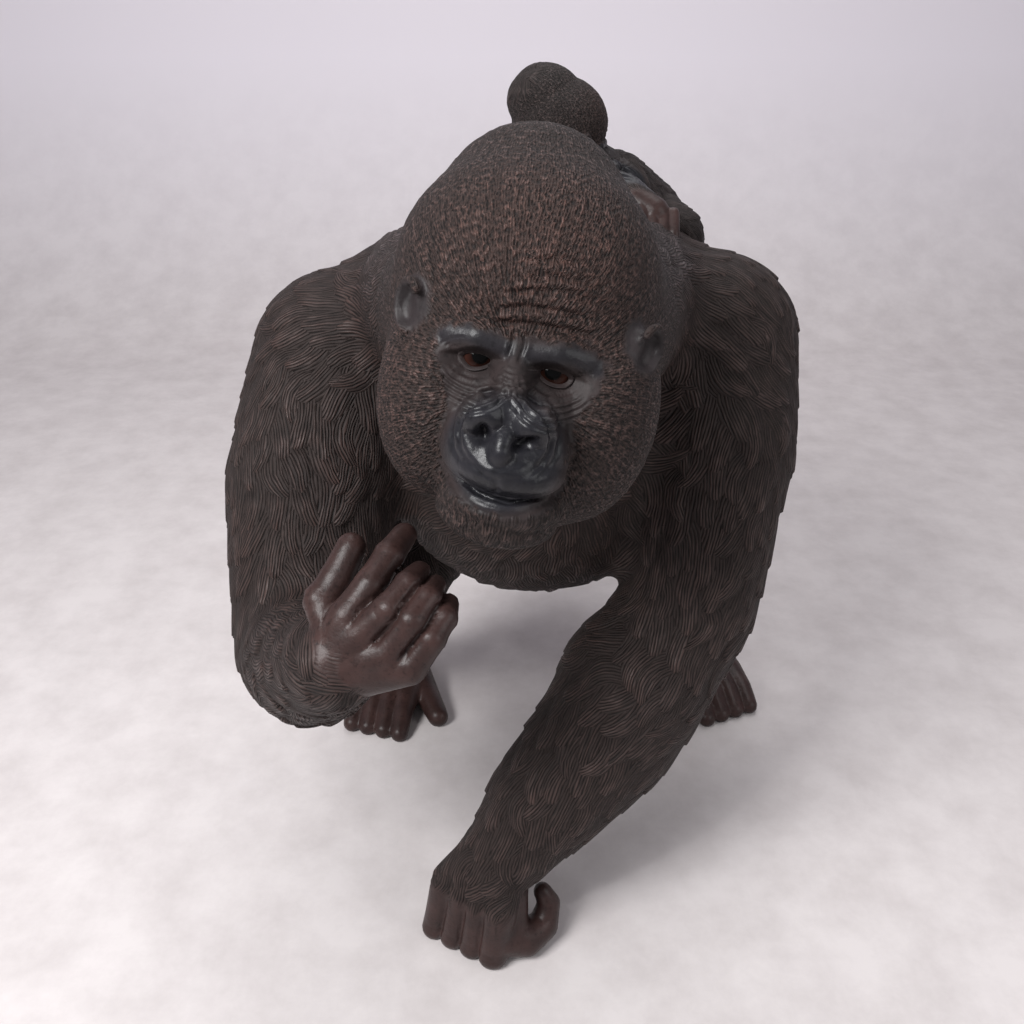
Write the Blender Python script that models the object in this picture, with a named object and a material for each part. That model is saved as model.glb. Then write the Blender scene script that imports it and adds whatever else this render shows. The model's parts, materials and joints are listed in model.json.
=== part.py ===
"""Gorilla figurine: a mother walking on her left fist and both feet, her right hand raised, with her baby
riding on her back. It is one resin casting, with glass eyes set into sockets in both faces.

Metres, +Z up. The mother faces -Y and her left side is +X. The origin is on the floor, under the middle
of the whole figure. The figure is modelled as a sculptor would: lumps of clay for each muscle and feature,
smoothed together into one skin, thinned to facets, and cut flat where it stands."""

import math

import bmesh
import bpy
from mathutils import Euler, Matrix, Vector

# The main sizes: how high and how far apart the mother's shoulders are, and her length from chest to rump
SHOULDER_HEIGHT = 0.735
SHOULDER_SPREAD = 0.464
TRUNK_LENGTH = 0.405
CHEST_Y = 0.050
RUMP_Y = CHEST_Y + TRUNK_LENGTH
LEFT_SIDE_X = 0.018 + SHOULDER_SPREAD / 2
RIGHT_SIDE_X = 0.018 - SHOULDER_SPREAD / 2

# The mother's trunk
CHEST_CENTRE = (0.032, CHEST_Y, SHOULDER_HEIGHT - 0.123)
CHEST_RADII = (0.235, 0.270, 0.240)
BACK_CENTRE = (0.022, CHEST_Y + 0.040, SHOULDER_HEIGHT)
BACK_RADII = (0.205, 0.230, 0.150)
BELLY_CENTRE = (0.045, RUMP_Y - 0.165, SHOULDER_HEIGHT - 0.190)
BELLY_RADII = (0.205, 0.270, 0.210)
LOIN_CENTRE = (0.035, RUMP_Y - 0.175, SHOULDER_HEIGHT - 0.090)
LOIN_RADII = (0.190, 0.250, 0.152)
RUMP_CENTRE = (0.050, RUMP_Y, SHOULDER_HEIGHT - 0.205)
RUMP_RADII = (0.185, 0.170, 0.170)
BUTTOCK_RADIUS = 0.100
BUTTOCK_SPREAD = 0.085
TRAPEZIUS_RADIUS = 0.100
NAPE_RADIUS = 0.098
NECK_SIDE_RADIUS = 0.110
THROAT_RADIUS = 0.100
THROAT_ROOT_RADIUS = 0.150

# The mother's head: where it is and how it is held
HEAD_CENTRE = (0.010, CHEST_Y - 0.420, SHOULDER_HEIGHT + 0.130)
HEAD_LIFT = math.radians(12)
HEAD_TILT = math.radians(11)
HEAD_TURN = math.radians(-5)

# The mother's left arm, planted on its fist, and her right arm, its hand raised
LEFT_SHOULDER = (LEFT_SIDE_X, CHEST_Y - 0.070, SHOULDER_HEIGHT + 0.010)
LEFT_ELBOW = (LEFT_SIDE_X - 0.022, CHEST_Y - 0.235, SHOULDER_HEIGHT - 0.285)
LEFT_WRIST = (-0.008, CHEST_Y - 0.360, 0.150)
RIGHT_SHOULDER = (RIGHT_SIDE_X, CHEST_Y - 0.084, SHOULDER_HEIGHT - 0.009)
RIGHT_ELBOW = (RIGHT_SIDE_X - 0.044, CHEST_Y - 0.295, SHOULDER_HEIGHT - 0.305)
RIGHT_WRIST = (RIGHT_SIDE_X + 0.038, CHEST_Y - 0.506, SHOULDER_HEIGHT - 0.177)
SHOULDER_RADIUS = 0.116
UPPER_ARM_RADIUS = 0.110
ELBOW_RADIUS = 0.084
FOREARM_RADIUS = 0.100
LOWER_FOREARM_RADIUS = 0.076
WRIST_RADIUS = 0.058
RAISED_FOREARM_RADIUS = 0.080
RAISED_WRIST_RADIUS = 0.050

# The mother's legs
LEFT_HIP = (0.150, RUMP_Y - 0.045, SHOULDER_HEIGHT - 0.235)
LEFT_KNEE = (LEFT_SIDE_X + 0.020, RUMP_Y - 0.355, 0.340)
LEFT_ANKLE = (LEFT_SIDE_X + 0.085, RUMP_Y - 0.165, 0.085)
RIGHT_HIP = (-0.050, RUMP_Y - 0.045, SHOULDER_HEIGHT - 0.235)
RIGHT_KNEE = (RIGHT_SIDE_X + 0.034, RUMP_Y - 0.405, 0.350)
RIGHT_ANKLE = (RIGHT_SIDE_X + 0.009, RUMP_Y - 0.205, 0.085)
LEFT_FOOT_TURN = math.radians(12)
RIGHT_FOOT_TURN = math.radians(-6)
HIP_RADIUS = 0.120
THIGH_RADIUS = 0.115
KNEE_RADIUS = 0.083
CALF_RADIUS = 0.075
ANKLE_RADIUS = 0.045

# Fingers and toes
FINGER_RADIUS = 0.0130
DIGIT_SIZES = (1.05, 1.00, 1.00, 0.95, 0.86)
DIGIT_TAPER = (1.30, 1.06, 1.02, 0.90)
FIST_FINGER_RADIUS = 0.0175
FIST_FINGER_SIZES = (0.90, 1.00, 1.04, 1.10)
FIST_FINGER_SPACING = 0.0305
TOE_RADIUS = 0.0145
TOE_SPACING = 0.029
HEEL_RADIUS = 0.038

# The glass eyes, in the head's frame, and how much smaller the baby's head is
EYE_RADIUS = 0.0205
EYE_PLACE = (0.0325, -0.0610, -0.0178)
EYE_OPENING = (0.0170, 0.0400, 0.0080)
EYE_CLEARANCE = 0.00045
LID_RADIUS = 0.0055
BABY_SCALE = 0.44
BABY_HEAD_CENTRE = (0.074, CHEST_Y, SHOULDER_HEIGHT + 0.243)
BABY_TURN = math.radians(78)
BABY_NOD = math.radians(6)
BABY_HIPS = (0.168, CHEST_Y + 0.075, SHOULDER_HEIGHT + 0.131)
BABY_HIP_RADIUS = 0.064
BABY_LEFT_HAND = (0.174, CHEST_Y - 0.046, SHOULDER_HEIGHT + 0.166)
BABY_RIGHT_HAND = (-0.095, CHEST_Y - 0.030, SHOULDER_HEIGHT + 0.150)
BABY_FINGER_RADIUS = 0.0078
BABY_FINGER_SPACING = 0.0135

# How the clay is smoothed and faceted
ROUGH_VOXEL = 0.012
ROUGH_SMOOTHINGS = 10
FINE_VOXEL = 0.0042
FINE_SMOOTHINGS = 2
EVEN_TRIANGLES = 16000
CASTING_TRIANGLES = 8000
FACE_REACH = 0.125
HAND_REACH = 0.115
FIST_REACH = 0.135
FOOT_REACH = 0.140
BABY_HEAD_REACH = 0.100
BABY_HAND_REACH = 0.052
SOLE_DEPTH = 0.0035
RESIN_COLOUR = (0.030, 0.022, 0.020, 1)
EYE_COLOUR = (0.120, 0.045, 0.020, 1)


def material(name, colour, roughness):
    made = bpy.data.materials.new(name)
    made.use_nodes = True
    shader = made.node_tree.nodes["Principled BSDF"]
    shader.inputs["Base Color"].default_value = colour
    shader.inputs["Roughness"].default_value = roughness
    return made


def new_object(name, clay):
    mesh = bpy.data.meshes.new(name)
    clay.to_mesh(mesh)
    clay.free()
    made = bpy.data.objects.new(name, mesh)
    bpy.context.scene.collection.objects.link(made)
    return made


def press_on(clay, lump):
    """Adds a separate lump to the clay."""
    mesh = bpy.data.meshes.new("lump")
    lump.to_mesh(mesh)
    lump.free()
    clay.from_mesh(mesh)
    bpy.data.meshes.remove(mesh)


def ball(clay, centre, radii, turn=(0, 0, 0), frame=Matrix()):
    """Adds an ellipsoid of clay."""
    place = frame @ Matrix.Translation(centre) @ Euler(turn).to_matrix().to_4x4()
    place = place @ Matrix.Diagonal((*radii, 1))
    lump = bmesh.new()
    bmesh.ops.create_uvsphere(lump, u_segments=24, v_segments=16, radius=1, matrix=place)
    press_on(clay, lump)


def taper(clay, start, start_radius, end, end_radius, frame=Matrix()):
    """Adds one round-ended, tapering length of clay."""
    scale = frame.to_scale().x
    start, end = frame @ Vector(start), frame @ Vector(end)
    lump = bmesh.new()
    bmesh.ops.create_uvsphere(lump, u_segments=16, v_segments=12, radius=scale)
    turn = (end - start).to_track_quat("Z", "Y")
    for vert in lump.verts:
        if vert.co.z > 1e-4 * scale:
            vert.co = turn @ (vert.co * end_radius) + end
        else:
            vert.co = turn @ (vert.co * start_radius) + start
    press_on(clay, lump)


def limb(clay, joints, frame=Matrix()):
    """Adds a chain of tapering lengths through (point, radius) joints."""
    for (start, start_radius), (end, end_radius) in zip(joints, joints[1:]):
        taper(clay, start, start_radius, end, end_radius, frame)


def between(a, b, share, push=(0, 0, 0)):
    return Vector(a).lerp(Vector(b), share) + Vector(push)


def modify(made, kind, **settings):
    modifier = made.modifiers.new(kind.title(), kind)
    for key, value in settings.items():
        setattr(modifier, key, value)
    return modifier


def apply_modifiers(made):
    graph = bpy.context.evaluated_depsgraph_get()
    mesh = bpy.data.meshes.new_from_object(made.evaluated_get(graph))
    made.modifiers.clear()
    old, made.data = made.data, mesh
    bpy.data.meshes.remove(old)


def head_frame():
    turn = Matrix.Rotation(HEAD_TURN, 4, "Z") @ Matrix.Rotation(HEAD_TILT, 4, "Y")
    return Matrix.Translation(HEAD_CENTRE) @ turn @ Matrix.Rotation(-HEAD_LIFT, 4, "X")


def baby_head_frame():
    turn = Matrix.Rotation(BABY_TURN, 4, "Z") @ Matrix.Rotation(BABY_NOD, 4, "X")
    return Matrix.Translation(BABY_HEAD_CENTRE) @ turn @ Matrix.Scale(BABY_SCALE, 4)


def add_trunk(clay):
    ball(clay, CHEST_CENTRE, CHEST_RADII)
    ball(clay, BACK_CENTRE, BACK_RADII)
    ball(clay, BELLY_CENTRE, BELLY_RADII)
    ball(clay, LOIN_CENTRE, LOIN_RADII)
    ball(clay, RUMP_CENTRE, RUMP_RADII)
    for side in (-1, 1):
        buttock = Vector(RUMP_CENTRE) + Vector((side * BUTTOCK_SPREAD, 0.060, -0.045))
        ball(clay, buttock, (BUTTOCK_RADIUS,) * 3)


def add_neck(clay):
    head = head_frame()
    nape = head @ Vector((0, 0.04, 0.030))
    limb(clay, [(nape, NAPE_RADIUS), (BACK_CENTRE, NAPE_RADIUS)])
    for side, shoulder in ((-1, RIGHT_SHOULDER), (1, LEFT_SHOULDER)):
        neck_side = head @ Vector((side * 0.03, 0.06, 0.01))
        trapezius = between(BACK_CENTRE, shoulder, 0.58, (0, 0, 0.052))
        slope = [(neck_side, NECK_SIDE_RADIUS), (trapezius, TRAPEZIUS_RADIUS), (shoulder, TRAPEZIUS_RADIUS)]
        limb(clay, slope)
    limb(clay, [(head @ Vector((0, 0.03, -0.07)), THROAT_RADIUS), (CHEST_CENTRE, THROAT_ROOT_RADIUS)])


def add_arms(clay):
    """The planted left arm and the raised right arm, down to their wrists."""
    planted = [
        (LEFT_SHOULDER, SHOULDER_RADIUS),
        (between(LEFT_SHOULDER, LEFT_ELBOW, 0.40, (0.012, 0, 0)), UPPER_ARM_RADIUS),
        (LEFT_ELBOW, ELBOW_RADIUS),
        (between(LEFT_ELBOW, LEFT_WRIST, 0.30), FOREARM_RADIUS),
        (between(LEFT_ELBOW, LEFT_WRIST, 0.50, (0.012, 0, -0.004)), FOREARM_RADIUS * 0.93),
        (between(LEFT_ELBOW, LEFT_WRIST, 0.80), LOWER_FOREARM_RADIUS),
        (LEFT_WRIST, WRIST_RADIUS),
    ]
    limb(clay, planted)
    raised = [
        (RIGHT_SHOULDER, SHOULDER_RADIUS),
        (between(RIGHT_SHOULDER, RIGHT_ELBOW, 0.45, (-0.017, 0, 0)), UPPER_ARM_RADIUS),
        (RIGHT_ELBOW, ELBOW_RADIUS),
        (between(RIGHT_ELBOW, RIGHT_WRIST, 0.40, (0, 0, -0.010)), RAISED_FOREARM_RADIUS),
        (RIGHT_WRIST, RAISED_WRIST_RADIUS),
    ]
    limb(clay, raised)


def add_leg(clay, hip, knee, ankle):
    joints = [
        (hip, HIP_RADIUS),
        (between(hip, knee, 0.5), THIGH_RADIUS),
        (knee, KNEE_RADIUS),
        (between(knee, ankle, 0.4), CALF_RADIUS),
        (ankle, ANKLE_RADIUS),
    ]
    limb(clay, joints)


def add_skull(clay, head):
    """The domed crown, the full cheeks and the jaw, leaning a little to the right of the face."""
    ball(clay, (-0.006, 0.040, 0.045), (0.129, 0.135, 0.122), frame=head)
    ball(clay, (-0.013, 0.085, 0.095), (0.099, 0.108, 0.098), frame=head)
    ball(clay, (0.014, -0.015, -0.115), (0.092, 0.085, 0.062), frame=head)
    for side in (-1, 1):
        ball(clay, (0.008 + side * 0.066, 0.000, -0.058), (0.067, 0.095, 0.106), frame=head)


def add_face(clay, head):
    """The muzzle with its ring of nostril wings, the lips, the brows and the ears."""
    ball(clay, (0.002, -0.050, -0.060), (0.074, 0.058, 0.056), frame=head)
    ball(clay, (0.006, -0.086, -0.086), (0.057, 0.054, 0.048), frame=head)
    ball(clay, (0.011, -0.094, -0.098), (0.051, 0.054, 0.026), frame=head)
    ball(clay, (0.012, -0.086, -0.132), (0.048, 0.056, 0.023), frame=head)
    ball(clay, (0.010, -0.074, -0.148), (0.056, 0.056, 0.028), frame=head)
    bridge = [((0, -0.078, -0.008), 0.013), ((0, -0.100, -0.030), 0.015), ((0.003, -0.124, -0.050), 0.014)]
    limb(clay, bridge, frame=head)
    ball(clay, (0.004, -0.120, -0.076), (0.012, 0.026, 0.024), frame=head)
    for side in (-1, 1):
        wing = [
            ((0.004 + side * 0.010, -0.128, -0.048), 0.0125),
            ((0.004 + side * 0.026, -0.122, -0.052), 0.0125),
            ((0.004 + side * 0.031, -0.120, -0.072), 0.0105),
            ((0.004 + side * 0.018, -0.130, -0.090), 0.0095),
            ((0.004, -0.136, -0.094), 0.0085),
        ]
        limb(clay, wing, frame=head)
        brow = [
            ((side * 0.074, -0.050, -0.008), 0.0150),
            ((side * 0.056, -0.069, -0.002), 0.0160),
            ((side * 0.034, -0.080, 0.000), 0.0165),
            ((0.000, -0.080, -0.003), 0.0140),
        ]
        limb(clay, brow, frame=head)
        ball(clay, (side * 0.036, -0.050, -0.036), (0.034, 0.030, 0.028), frame=head)
        lid = [
            ((side * 0.012, -0.076, -0.020), LID_RADIUS),
            ((side * 0.022, -0.081, -0.028), LID_RADIUS),
            ((side * 0.038, -0.080, -0.029), LID_RADIUS),
            ((side * 0.053, -0.070, -0.018), LID_RADIUS),
        ]
        limb(clay, lid, frame=head)
        upper_lid = [
            ((side * 0.012, -0.076, -0.020), LID_RADIUS),
            ((side * 0.026, -0.084, -0.010), LID_RADIUS),
            ((side * 0.042, -0.080, -0.009), LID_RADIUS),
            ((side * 0.053, -0.070, -0.018), LID_RADIUS),
        ]
        limb(clay, upper_lid, frame=head)
        ear = [
            ((side * 0.112, 0.006, -0.008), 0.0060),
            ((side * 0.120, 0.022, 0.000), 0.0070),
            ((side * 0.120, 0.026, 0.020), 0.0075),
            ((side * 0.114, 0.010, 0.032), 0.0065),
            ((side * 0.110, -0.002, 0.022), 0.0050),
        ]
        limb(clay, ear, frame=head)
        ball(clay, (side * 0.108, 0.014, 0.012), (0.010, 0.014, 0.020), frame=head)


def add_raised_hand(clay):
    """The open right hand, its back to the viewer. Each digit runs from the wrist through its joints."""
    hand = Matrix.Translation(RIGHT_WRIST)
    digits = [
        [(0.006, -0.001, 0.026), (-0.010, 0.026, 0.058), (0.004, 0.040, 0.074), (0.017, 0.058, 0.099)],
        [(0.020, -0.002, 0.058), (0.040, 0.016, 0.082), (0.056, 0.044, 0.098), (0.068, 0.076, 0.103)],
        [(0.032, -0.015, 0.045), (0.061, -0.014, 0.074), (0.078, 0.008, 0.086), (0.085, 0.040, 0.080)],
        [(0.059, -0.027, 0.033), (0.083, -0.023, 0.068), (0.096, -0.003, 0.079), (0.100, 0.030, 0.072)],
        [(0.080, -0.033, 0.021), (0.101, -0.027, 0.050), (0.112, -0.010, 0.062), (0.114, 0.016, 0.060)],
    ]
    for joints, size in zip(digits, DIGIT_SIZES):
        radii = [FINGER_RADIUS * size * share for share in DIGIT_TAPER]
        limb(clay, [((0, 0, 0), RAISED_WRIST_RADIUS * 0.80), (joints[0], radii[0])], frame=hand)
        limb(clay, list(zip(joints, radii)), frame=hand)


def add_fist(clay):
    """The planted left hand, walking on its knuckles, with its thumb curled beside it."""
    hand = Matrix.Translation(LEFT_WRIST)
    across = Vector((0.87, -0.49, 0)).normalized() * FIST_FINGER_SPACING
    for i, size in enumerate(FIST_FINGER_SIZES):
        radius = FIST_FINGER_RADIUS * size
        knuckle = Vector((-0.080, 0.000, -0.052)) + across * i * 0.92
        ground = Vector((-0.097, -0.004, radius - SOLE_DEPTH - LEFT_WRIST[2])) + across * i
        tucked = ground + Vector((0.020, 0.034, 0.002))
        tip = tucked + Vector((0.004, 0.006, 0.026))
        back = [((-0.010, 0, 0), WRIST_RADIUS * 0.85), (knuckle, radius * 1.25)]
        finger = [(knuckle, radius * 1.25), (ground, radius * 1.06), (tucked, radius), (tip, radius * 0.9)]
        limb(clay, back + finger[1:], frame=hand)
    thumb = [
        ((0.000, -0.005, -0.060), 0.030),
        ((0.000, -0.030, -0.112), 0.024),
        ((0.024, -0.032, -0.128), 0.0205),
        ((0.048, -0.013, -0.124), 0.0190),
        ((0.056, 0.000, -0.098), 0.0165),
    ]
    limb(clay, thumb, frame=hand)


def add_foot(clay, ankle, heading):
    """A foot flat on the floor: heel, sole, four toes and a splayed big toe on its inner side."""
    inner = 1 if ankle[0] < 0 else -1
    foot = Matrix.Translation((ankle[0], ankle[1], 0)) @ Matrix.Rotation(heading, 4, "Z")
    heel = [((0, 0.045, HEEL_RADIUS - SOLE_DEPTH), HEEL_RADIUS), ((0, 0.0, ankle[2]), ANKLE_RADIUS)]
    limb(clay, heel, frame=foot)
    for i in range(4):
        x = -inner * (i - 1.0) * TOE_SPACING
        reach = 0.006 * i
        toe = [
            ((0.5 * x, 0.020, 0.042), 0.036),
            ((0.9 * x, -0.085 + reach, 0.030), 0.024),
            ((x, -0.130 + reach, 0.026), 0.0165),
            ((x, -0.166 + reach, TOE_RADIUS - SOLE_DEPTH), TOE_RADIUS),
        ]
        limb(clay, toe, frame=foot)
    big_toe = [
        ((inner * 0.010, 0.010, 0.036), 0.034),
        ((inner * 0.055, -0.060, 0.022), 0.023),
        ((inner * 0.088, -0.118, TOE_RADIUS), 0.0185),
    ]
    limb(clay, big_toe, frame=foot)


def add_baby(clay):
    """The baby, lying along the mother's back with its hands on her shoulders."""
    head = baby_head_frame()
    add_skull(clay, head)
    add_face(clay, head)
    rider = Matrix.Translation(BABY_HIPS)
    trunk = [((-0.090, -0.059, 0.088), 0.036), ((-0.040, -0.034, 0.037), 0.060), ((0, 0, 0), BABY_HIP_RADIUS)]
    left_knee, left_foot = (0.044, -0.060, -0.006), (0.072, 0.015, -0.053)
    right_knee, right_foot = (-0.093, 0.055, 0.032), (-0.138, 0.125, -0.003)
    left_leg = [((0, 0, 0), BABY_HIP_RADIUS * 0.90), (left_knee, 0.038), (left_foot, 0.028)]
    right_leg = [((0, 0, 0), BABY_HIP_RADIUS * 0.85), (right_knee, 0.042), (right_foot, 0.028)]
    for joints in (trunk, left_leg, right_leg):
        limb(clay, joints, frame=rider)
    right_arm = [((0.155, 0.070, 0.050), 0.032), ((0.075, 0.050, 0.030), 0.025), ((0, 0, 0), 0.020)]
    limb(clay, right_arm, frame=Matrix.Translation(BABY_RIGHT_HAND))
    left_arm = [((-0.044, 0.048, 0.017), 0.027), ((-0.024, 0.016, 0.011), 0.023), ((0, 0, 0), 0.019)]
    hand = Matrix.Translation(BABY_LEFT_HAND)
    limb(clay, left_arm, frame=hand)
    for i in range(4):
        x = BABY_FINGER_SPACING * (i - 1.25)
        finger = [
            ((x, -0.004, 0.008 - 0.003 * i), BABY_FINGER_RADIUS),
            ((x, -0.022, -0.008 - 0.004 * i), BABY_FINGER_RADIUS * 0.92),
            ((x, -0.030, -0.027 - 0.004 * i), BABY_FINGER_RADIUS * 0.80),
        ]
        limb(clay, finger, frame=hand)


def keep_outer_skin(clay):
    """Deletes the small skins of any pockets shut inside the clay, and keeps the figure's own."""
    unseen, skins = set(clay.verts), []
    while unseen:
        skin, edge_of_skin = set(), [unseen.pop()]
        while edge_of_skin:
            vert = edge_of_skin.pop()
            skin.add(vert)
            near = [edge.other_vert(vert) for edge in vert.link_edges]
            fresh = [other for other in near if other in unseen]
            unseen.difference_update(fresh)
            edge_of_skin.extend(fresh)
        skins.append(skin)
    skins.sort(key=len)
    for skin in skins[:-1]:
        bmesh.ops.delete(clay, geom=list(skin), context="VERTS")


def stand_flat(made):
    """Cuts the casting flat along the floor and closes the cut soles."""
    clay = bmesh.new()
    clay.from_mesh(made.data)
    keep_outer_skin(clay)
    everything = clay.verts[:] + clay.edges[:] + clay.faces[:]
    floor = {"plane_co": (0, 0, 0), "plane_no": (0, 0, -1)}
    bmesh.ops.bisect_plane(clay, geom=everything, clear_outer=True, dist=1e-5, **floor)
    rim = [edge for edge in clay.edges if edge.is_boundary]
    bmesh.ops.holes_fill(clay, edges=rim, sides=0)
    bmesh.ops.triangulate(clay, faces=clay.faces[:])
    clay.to_mesh(made.data)
    clay.free()


def fine_areas():
    """The middle and reach of each place that keeps its fine facets: the faces, the hands and the feet."""
    areas = [
        (head_frame() @ Vector((0.005, -0.090, -0.070)), FACE_REACH),
        (Vector(RIGHT_WRIST) + Vector((0.050, 0.015, 0.050)), HAND_REACH),
        (Vector(LEFT_WRIST) + Vector((-0.015, -0.010, -0.090)), FIST_REACH),
        (Vector(BABY_HEAD_CENTRE), BABY_HEAD_REACH),
        (Vector(BABY_LEFT_HAND), BABY_HAND_REACH),
    ]
    for ankle in (LEFT_ANKLE, RIGHT_ANKLE):
        areas.append((Vector((ankle[0], ankle[1] - 0.080, 0)), FOOT_REACH))
    return areas


def thin(made, frames):
    """Facets the casting: evenly first, and then the plain trunk and limbs only."""
    modify(made, "DECIMATE", ratio=EVEN_TRIANGLES / triangles(made))
    apply_modifiers(made)
    plain = made.vertex_groups.new(name="plain")
    plain.add([vert.index for vert in made.data.vertices if is_plain(vert.co, frames)], 1, "REPLACE")
    modify(made, "DECIMATE", ratio=CASTING_TRIANGLES / triangles(made), vertex_group="plain")
    apply_modifiers(made)
    made.vertex_groups.clear()


def triangles(made):
    made.data.calc_loop_triangles()
    return len(made.data.loop_triangles)


def is_plain(point, frames):
    return all((point - centre).length > reach for centre, reach in frames)


def cut(casting, cutter):
    modify(casting, "BOOLEAN", object=cutter, operation="DIFFERENCE", solver="EXACT")
    apply_modifiers(casting)
    bpy.data.objects.remove(cutter)


def eyeball(name, frame, side, radius):
    """A ball at the eye's place, its poles at its front and back."""
    clay = bmesh.new()
    bmesh.ops.create_uvsphere(clay, u_segments=16, v_segments=10, radius=radius)
    centre = frame @ Vector((side * EYE_PLACE[0], EYE_PLACE[1], EYE_PLACE[2]))
    turn = frame.to_quaternion().to_matrix().to_4x4() @ Matrix.Rotation(math.pi / 2, 4, "X")
    clay.transform(Matrix.Translation(centre) @ turn)
    return new_object(name, clay)


def build_eye(name, frame, side, casting):
    """A glass eye, the socket that it sits in with a hair's clearance, and the opening between its lids."""
    radius = EYE_RADIUS * frame.to_scale().x
    cut(casting, eyeball(name + "_socket", frame, side, radius + EYE_CLEARANCE))
    opening = bmesh.new()
    opening_centre = (side * EYE_PLACE[0], EYE_PLACE[1] - EYE_OPENING[1], EYE_PLACE[2])
    ball(opening, opening_centre, EYE_OPENING, frame=frame)
    cut(casting, new_object(name + "_opening", opening))
    return eyeball(name, frame, side, radius)


def centre_on_floor(objects):
    """Moves the whole figure so that the origin is on the floor under its middle."""
    points = [vert.co for made in objects for vert in made.data.vertices]
    middle = [(min(p[axis] for p in points) + max(p[axis] for p in points)) / 2 for axis in (0, 1)]
    for made in objects:
        made.data.transform(Matrix.Translation((-middle[0], -middle[1], 0)))


def build():
    for old in list(bpy.data.objects):
        bpy.data.objects.remove(old)
    clay = bmesh.new()
    add_trunk(clay)
    add_neck(clay)
    add_arms(clay)
    add_leg(clay, LEFT_HIP, LEFT_KNEE, LEFT_ANKLE)
    add_leg(clay, RIGHT_HIP, RIGHT_KNEE, RIGHT_ANKLE)
    add_skull(clay, head_frame())
    casting = new_object("gorilla_casting", clay)
    modify(casting, "REMESH", mode="VOXEL", voxel_size=ROUGH_VOXEL)
    modify(casting, "SMOOTH", factor=0.5, iterations=ROUGH_SMOOTHINGS)
    apply_modifiers(casting)

    detail = bmesh.new()
    detail.from_mesh(casting.data)
    add_face(detail, head_frame())
    add_raised_hand(detail)
    add_fist(detail)
    add_foot(detail, LEFT_ANKLE, LEFT_FOOT_TURN)
    add_foot(detail, RIGHT_ANKLE, RIGHT_FOOT_TURN)
    add_baby(detail)
    detail.to_mesh(casting.data)
    detail.free()
    modify(casting, "REMESH", mode="VOXEL", voxel_size=FINE_VOXEL)
    modify(casting, "SMOOTH", factor=0.5, iterations=FINE_SMOOTHINGS)
    apply_modifiers(casting)
    thin(casting, fine_areas())
    stand_flat(casting)
    eyes = []
    for prefix, frame in (("", head_frame()), ("baby_", baby_head_frame())):
        eyes.append(build_eye(prefix + "right_eye", frame, -1, casting))
        eyes.append(build_eye(prefix + "left_eye", frame, 1, casting))
    centre_on_floor([casting] + eyes)
    casting.data.materials.append(material("dark_resin", RESIN_COLOUR, 0.45))
    glass = material("brown_glass", EYE_COLOUR, 0.05)
    for eye in eyes:
        eye.data.materials.append(glass)
        eye.data.shade_smooth()


build()
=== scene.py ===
"""The gorilla figurine as the photograph shows it: a mother walking on one fist with her other hand raised,
and her baby on her back. Metres, +Z up, the mother facing -Y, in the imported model's frame."""

import json
import math

import bpy
import numpy as np
from mathutils import Matrix, Vector, kdtree, noise

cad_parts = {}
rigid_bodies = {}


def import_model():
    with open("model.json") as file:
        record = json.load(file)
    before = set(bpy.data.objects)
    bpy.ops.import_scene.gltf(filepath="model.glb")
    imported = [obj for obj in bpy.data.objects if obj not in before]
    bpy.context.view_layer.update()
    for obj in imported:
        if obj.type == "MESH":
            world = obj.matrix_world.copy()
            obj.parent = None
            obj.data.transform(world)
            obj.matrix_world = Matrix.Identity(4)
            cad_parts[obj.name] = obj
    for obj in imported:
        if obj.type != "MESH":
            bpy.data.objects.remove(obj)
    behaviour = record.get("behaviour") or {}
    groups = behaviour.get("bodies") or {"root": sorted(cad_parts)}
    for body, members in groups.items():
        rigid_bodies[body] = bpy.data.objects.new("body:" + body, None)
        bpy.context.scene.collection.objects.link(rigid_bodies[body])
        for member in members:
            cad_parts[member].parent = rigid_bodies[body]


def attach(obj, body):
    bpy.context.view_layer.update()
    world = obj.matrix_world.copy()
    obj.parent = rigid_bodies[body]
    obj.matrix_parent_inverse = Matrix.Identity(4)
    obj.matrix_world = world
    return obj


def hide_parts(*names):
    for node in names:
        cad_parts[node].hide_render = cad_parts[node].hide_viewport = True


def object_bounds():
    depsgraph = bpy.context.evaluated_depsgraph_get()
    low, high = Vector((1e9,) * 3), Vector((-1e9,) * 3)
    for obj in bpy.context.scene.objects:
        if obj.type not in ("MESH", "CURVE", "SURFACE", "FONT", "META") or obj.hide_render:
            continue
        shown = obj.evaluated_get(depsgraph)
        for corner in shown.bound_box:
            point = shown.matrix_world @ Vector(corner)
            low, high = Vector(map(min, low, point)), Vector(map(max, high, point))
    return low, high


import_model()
cad_low, cad_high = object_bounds()
bpy.ops.object.select_all(action="DESELECT")

# The mother's trunk, limbs and skull
# The real figure was sculpted in clay and cast in resin as one piece, so it is made here in the same way:
# pinches of clay for the big muscles, pressed together and smoothed. Points are measured from the
# sculptor's own mark. The finished skin is moved by MIDDLE, which puts the figure's middle at the origin.
MIDDLE = Vector((0.04005, 0.04446, 0))
ROUGH_VOXEL = 0.012
HEAD = Matrix.Translation((0.010, -0.370, 0.865)) @ Matrix.Rotation(math.radians(-5), 4, "Z")
HEAD = HEAD @ Matrix.Rotation(math.radians(11), 4, "Y") @ Matrix.Rotation(math.radians(-12), 4, "X")
BACK = (0.022, 0.090, 0.735)
CHEST = (0.032, 0.050, 0.612)
RUMP = (0.050, 0.455, 0.530)
LEFT_SHOULDER, RIGHT_SHOULDER = (0.250, -0.020, 0.745), (-0.214, -0.034, 0.726)
LEFT_ELBOW, RIGHT_ELBOW = (0.228, -0.185, 0.450), (-0.258, -0.245, 0.430)
LEFT_WRIST, RIGHT_WRIST = (-0.008, -0.310, 0.150), (-0.176, -0.456, 0.558)
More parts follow.
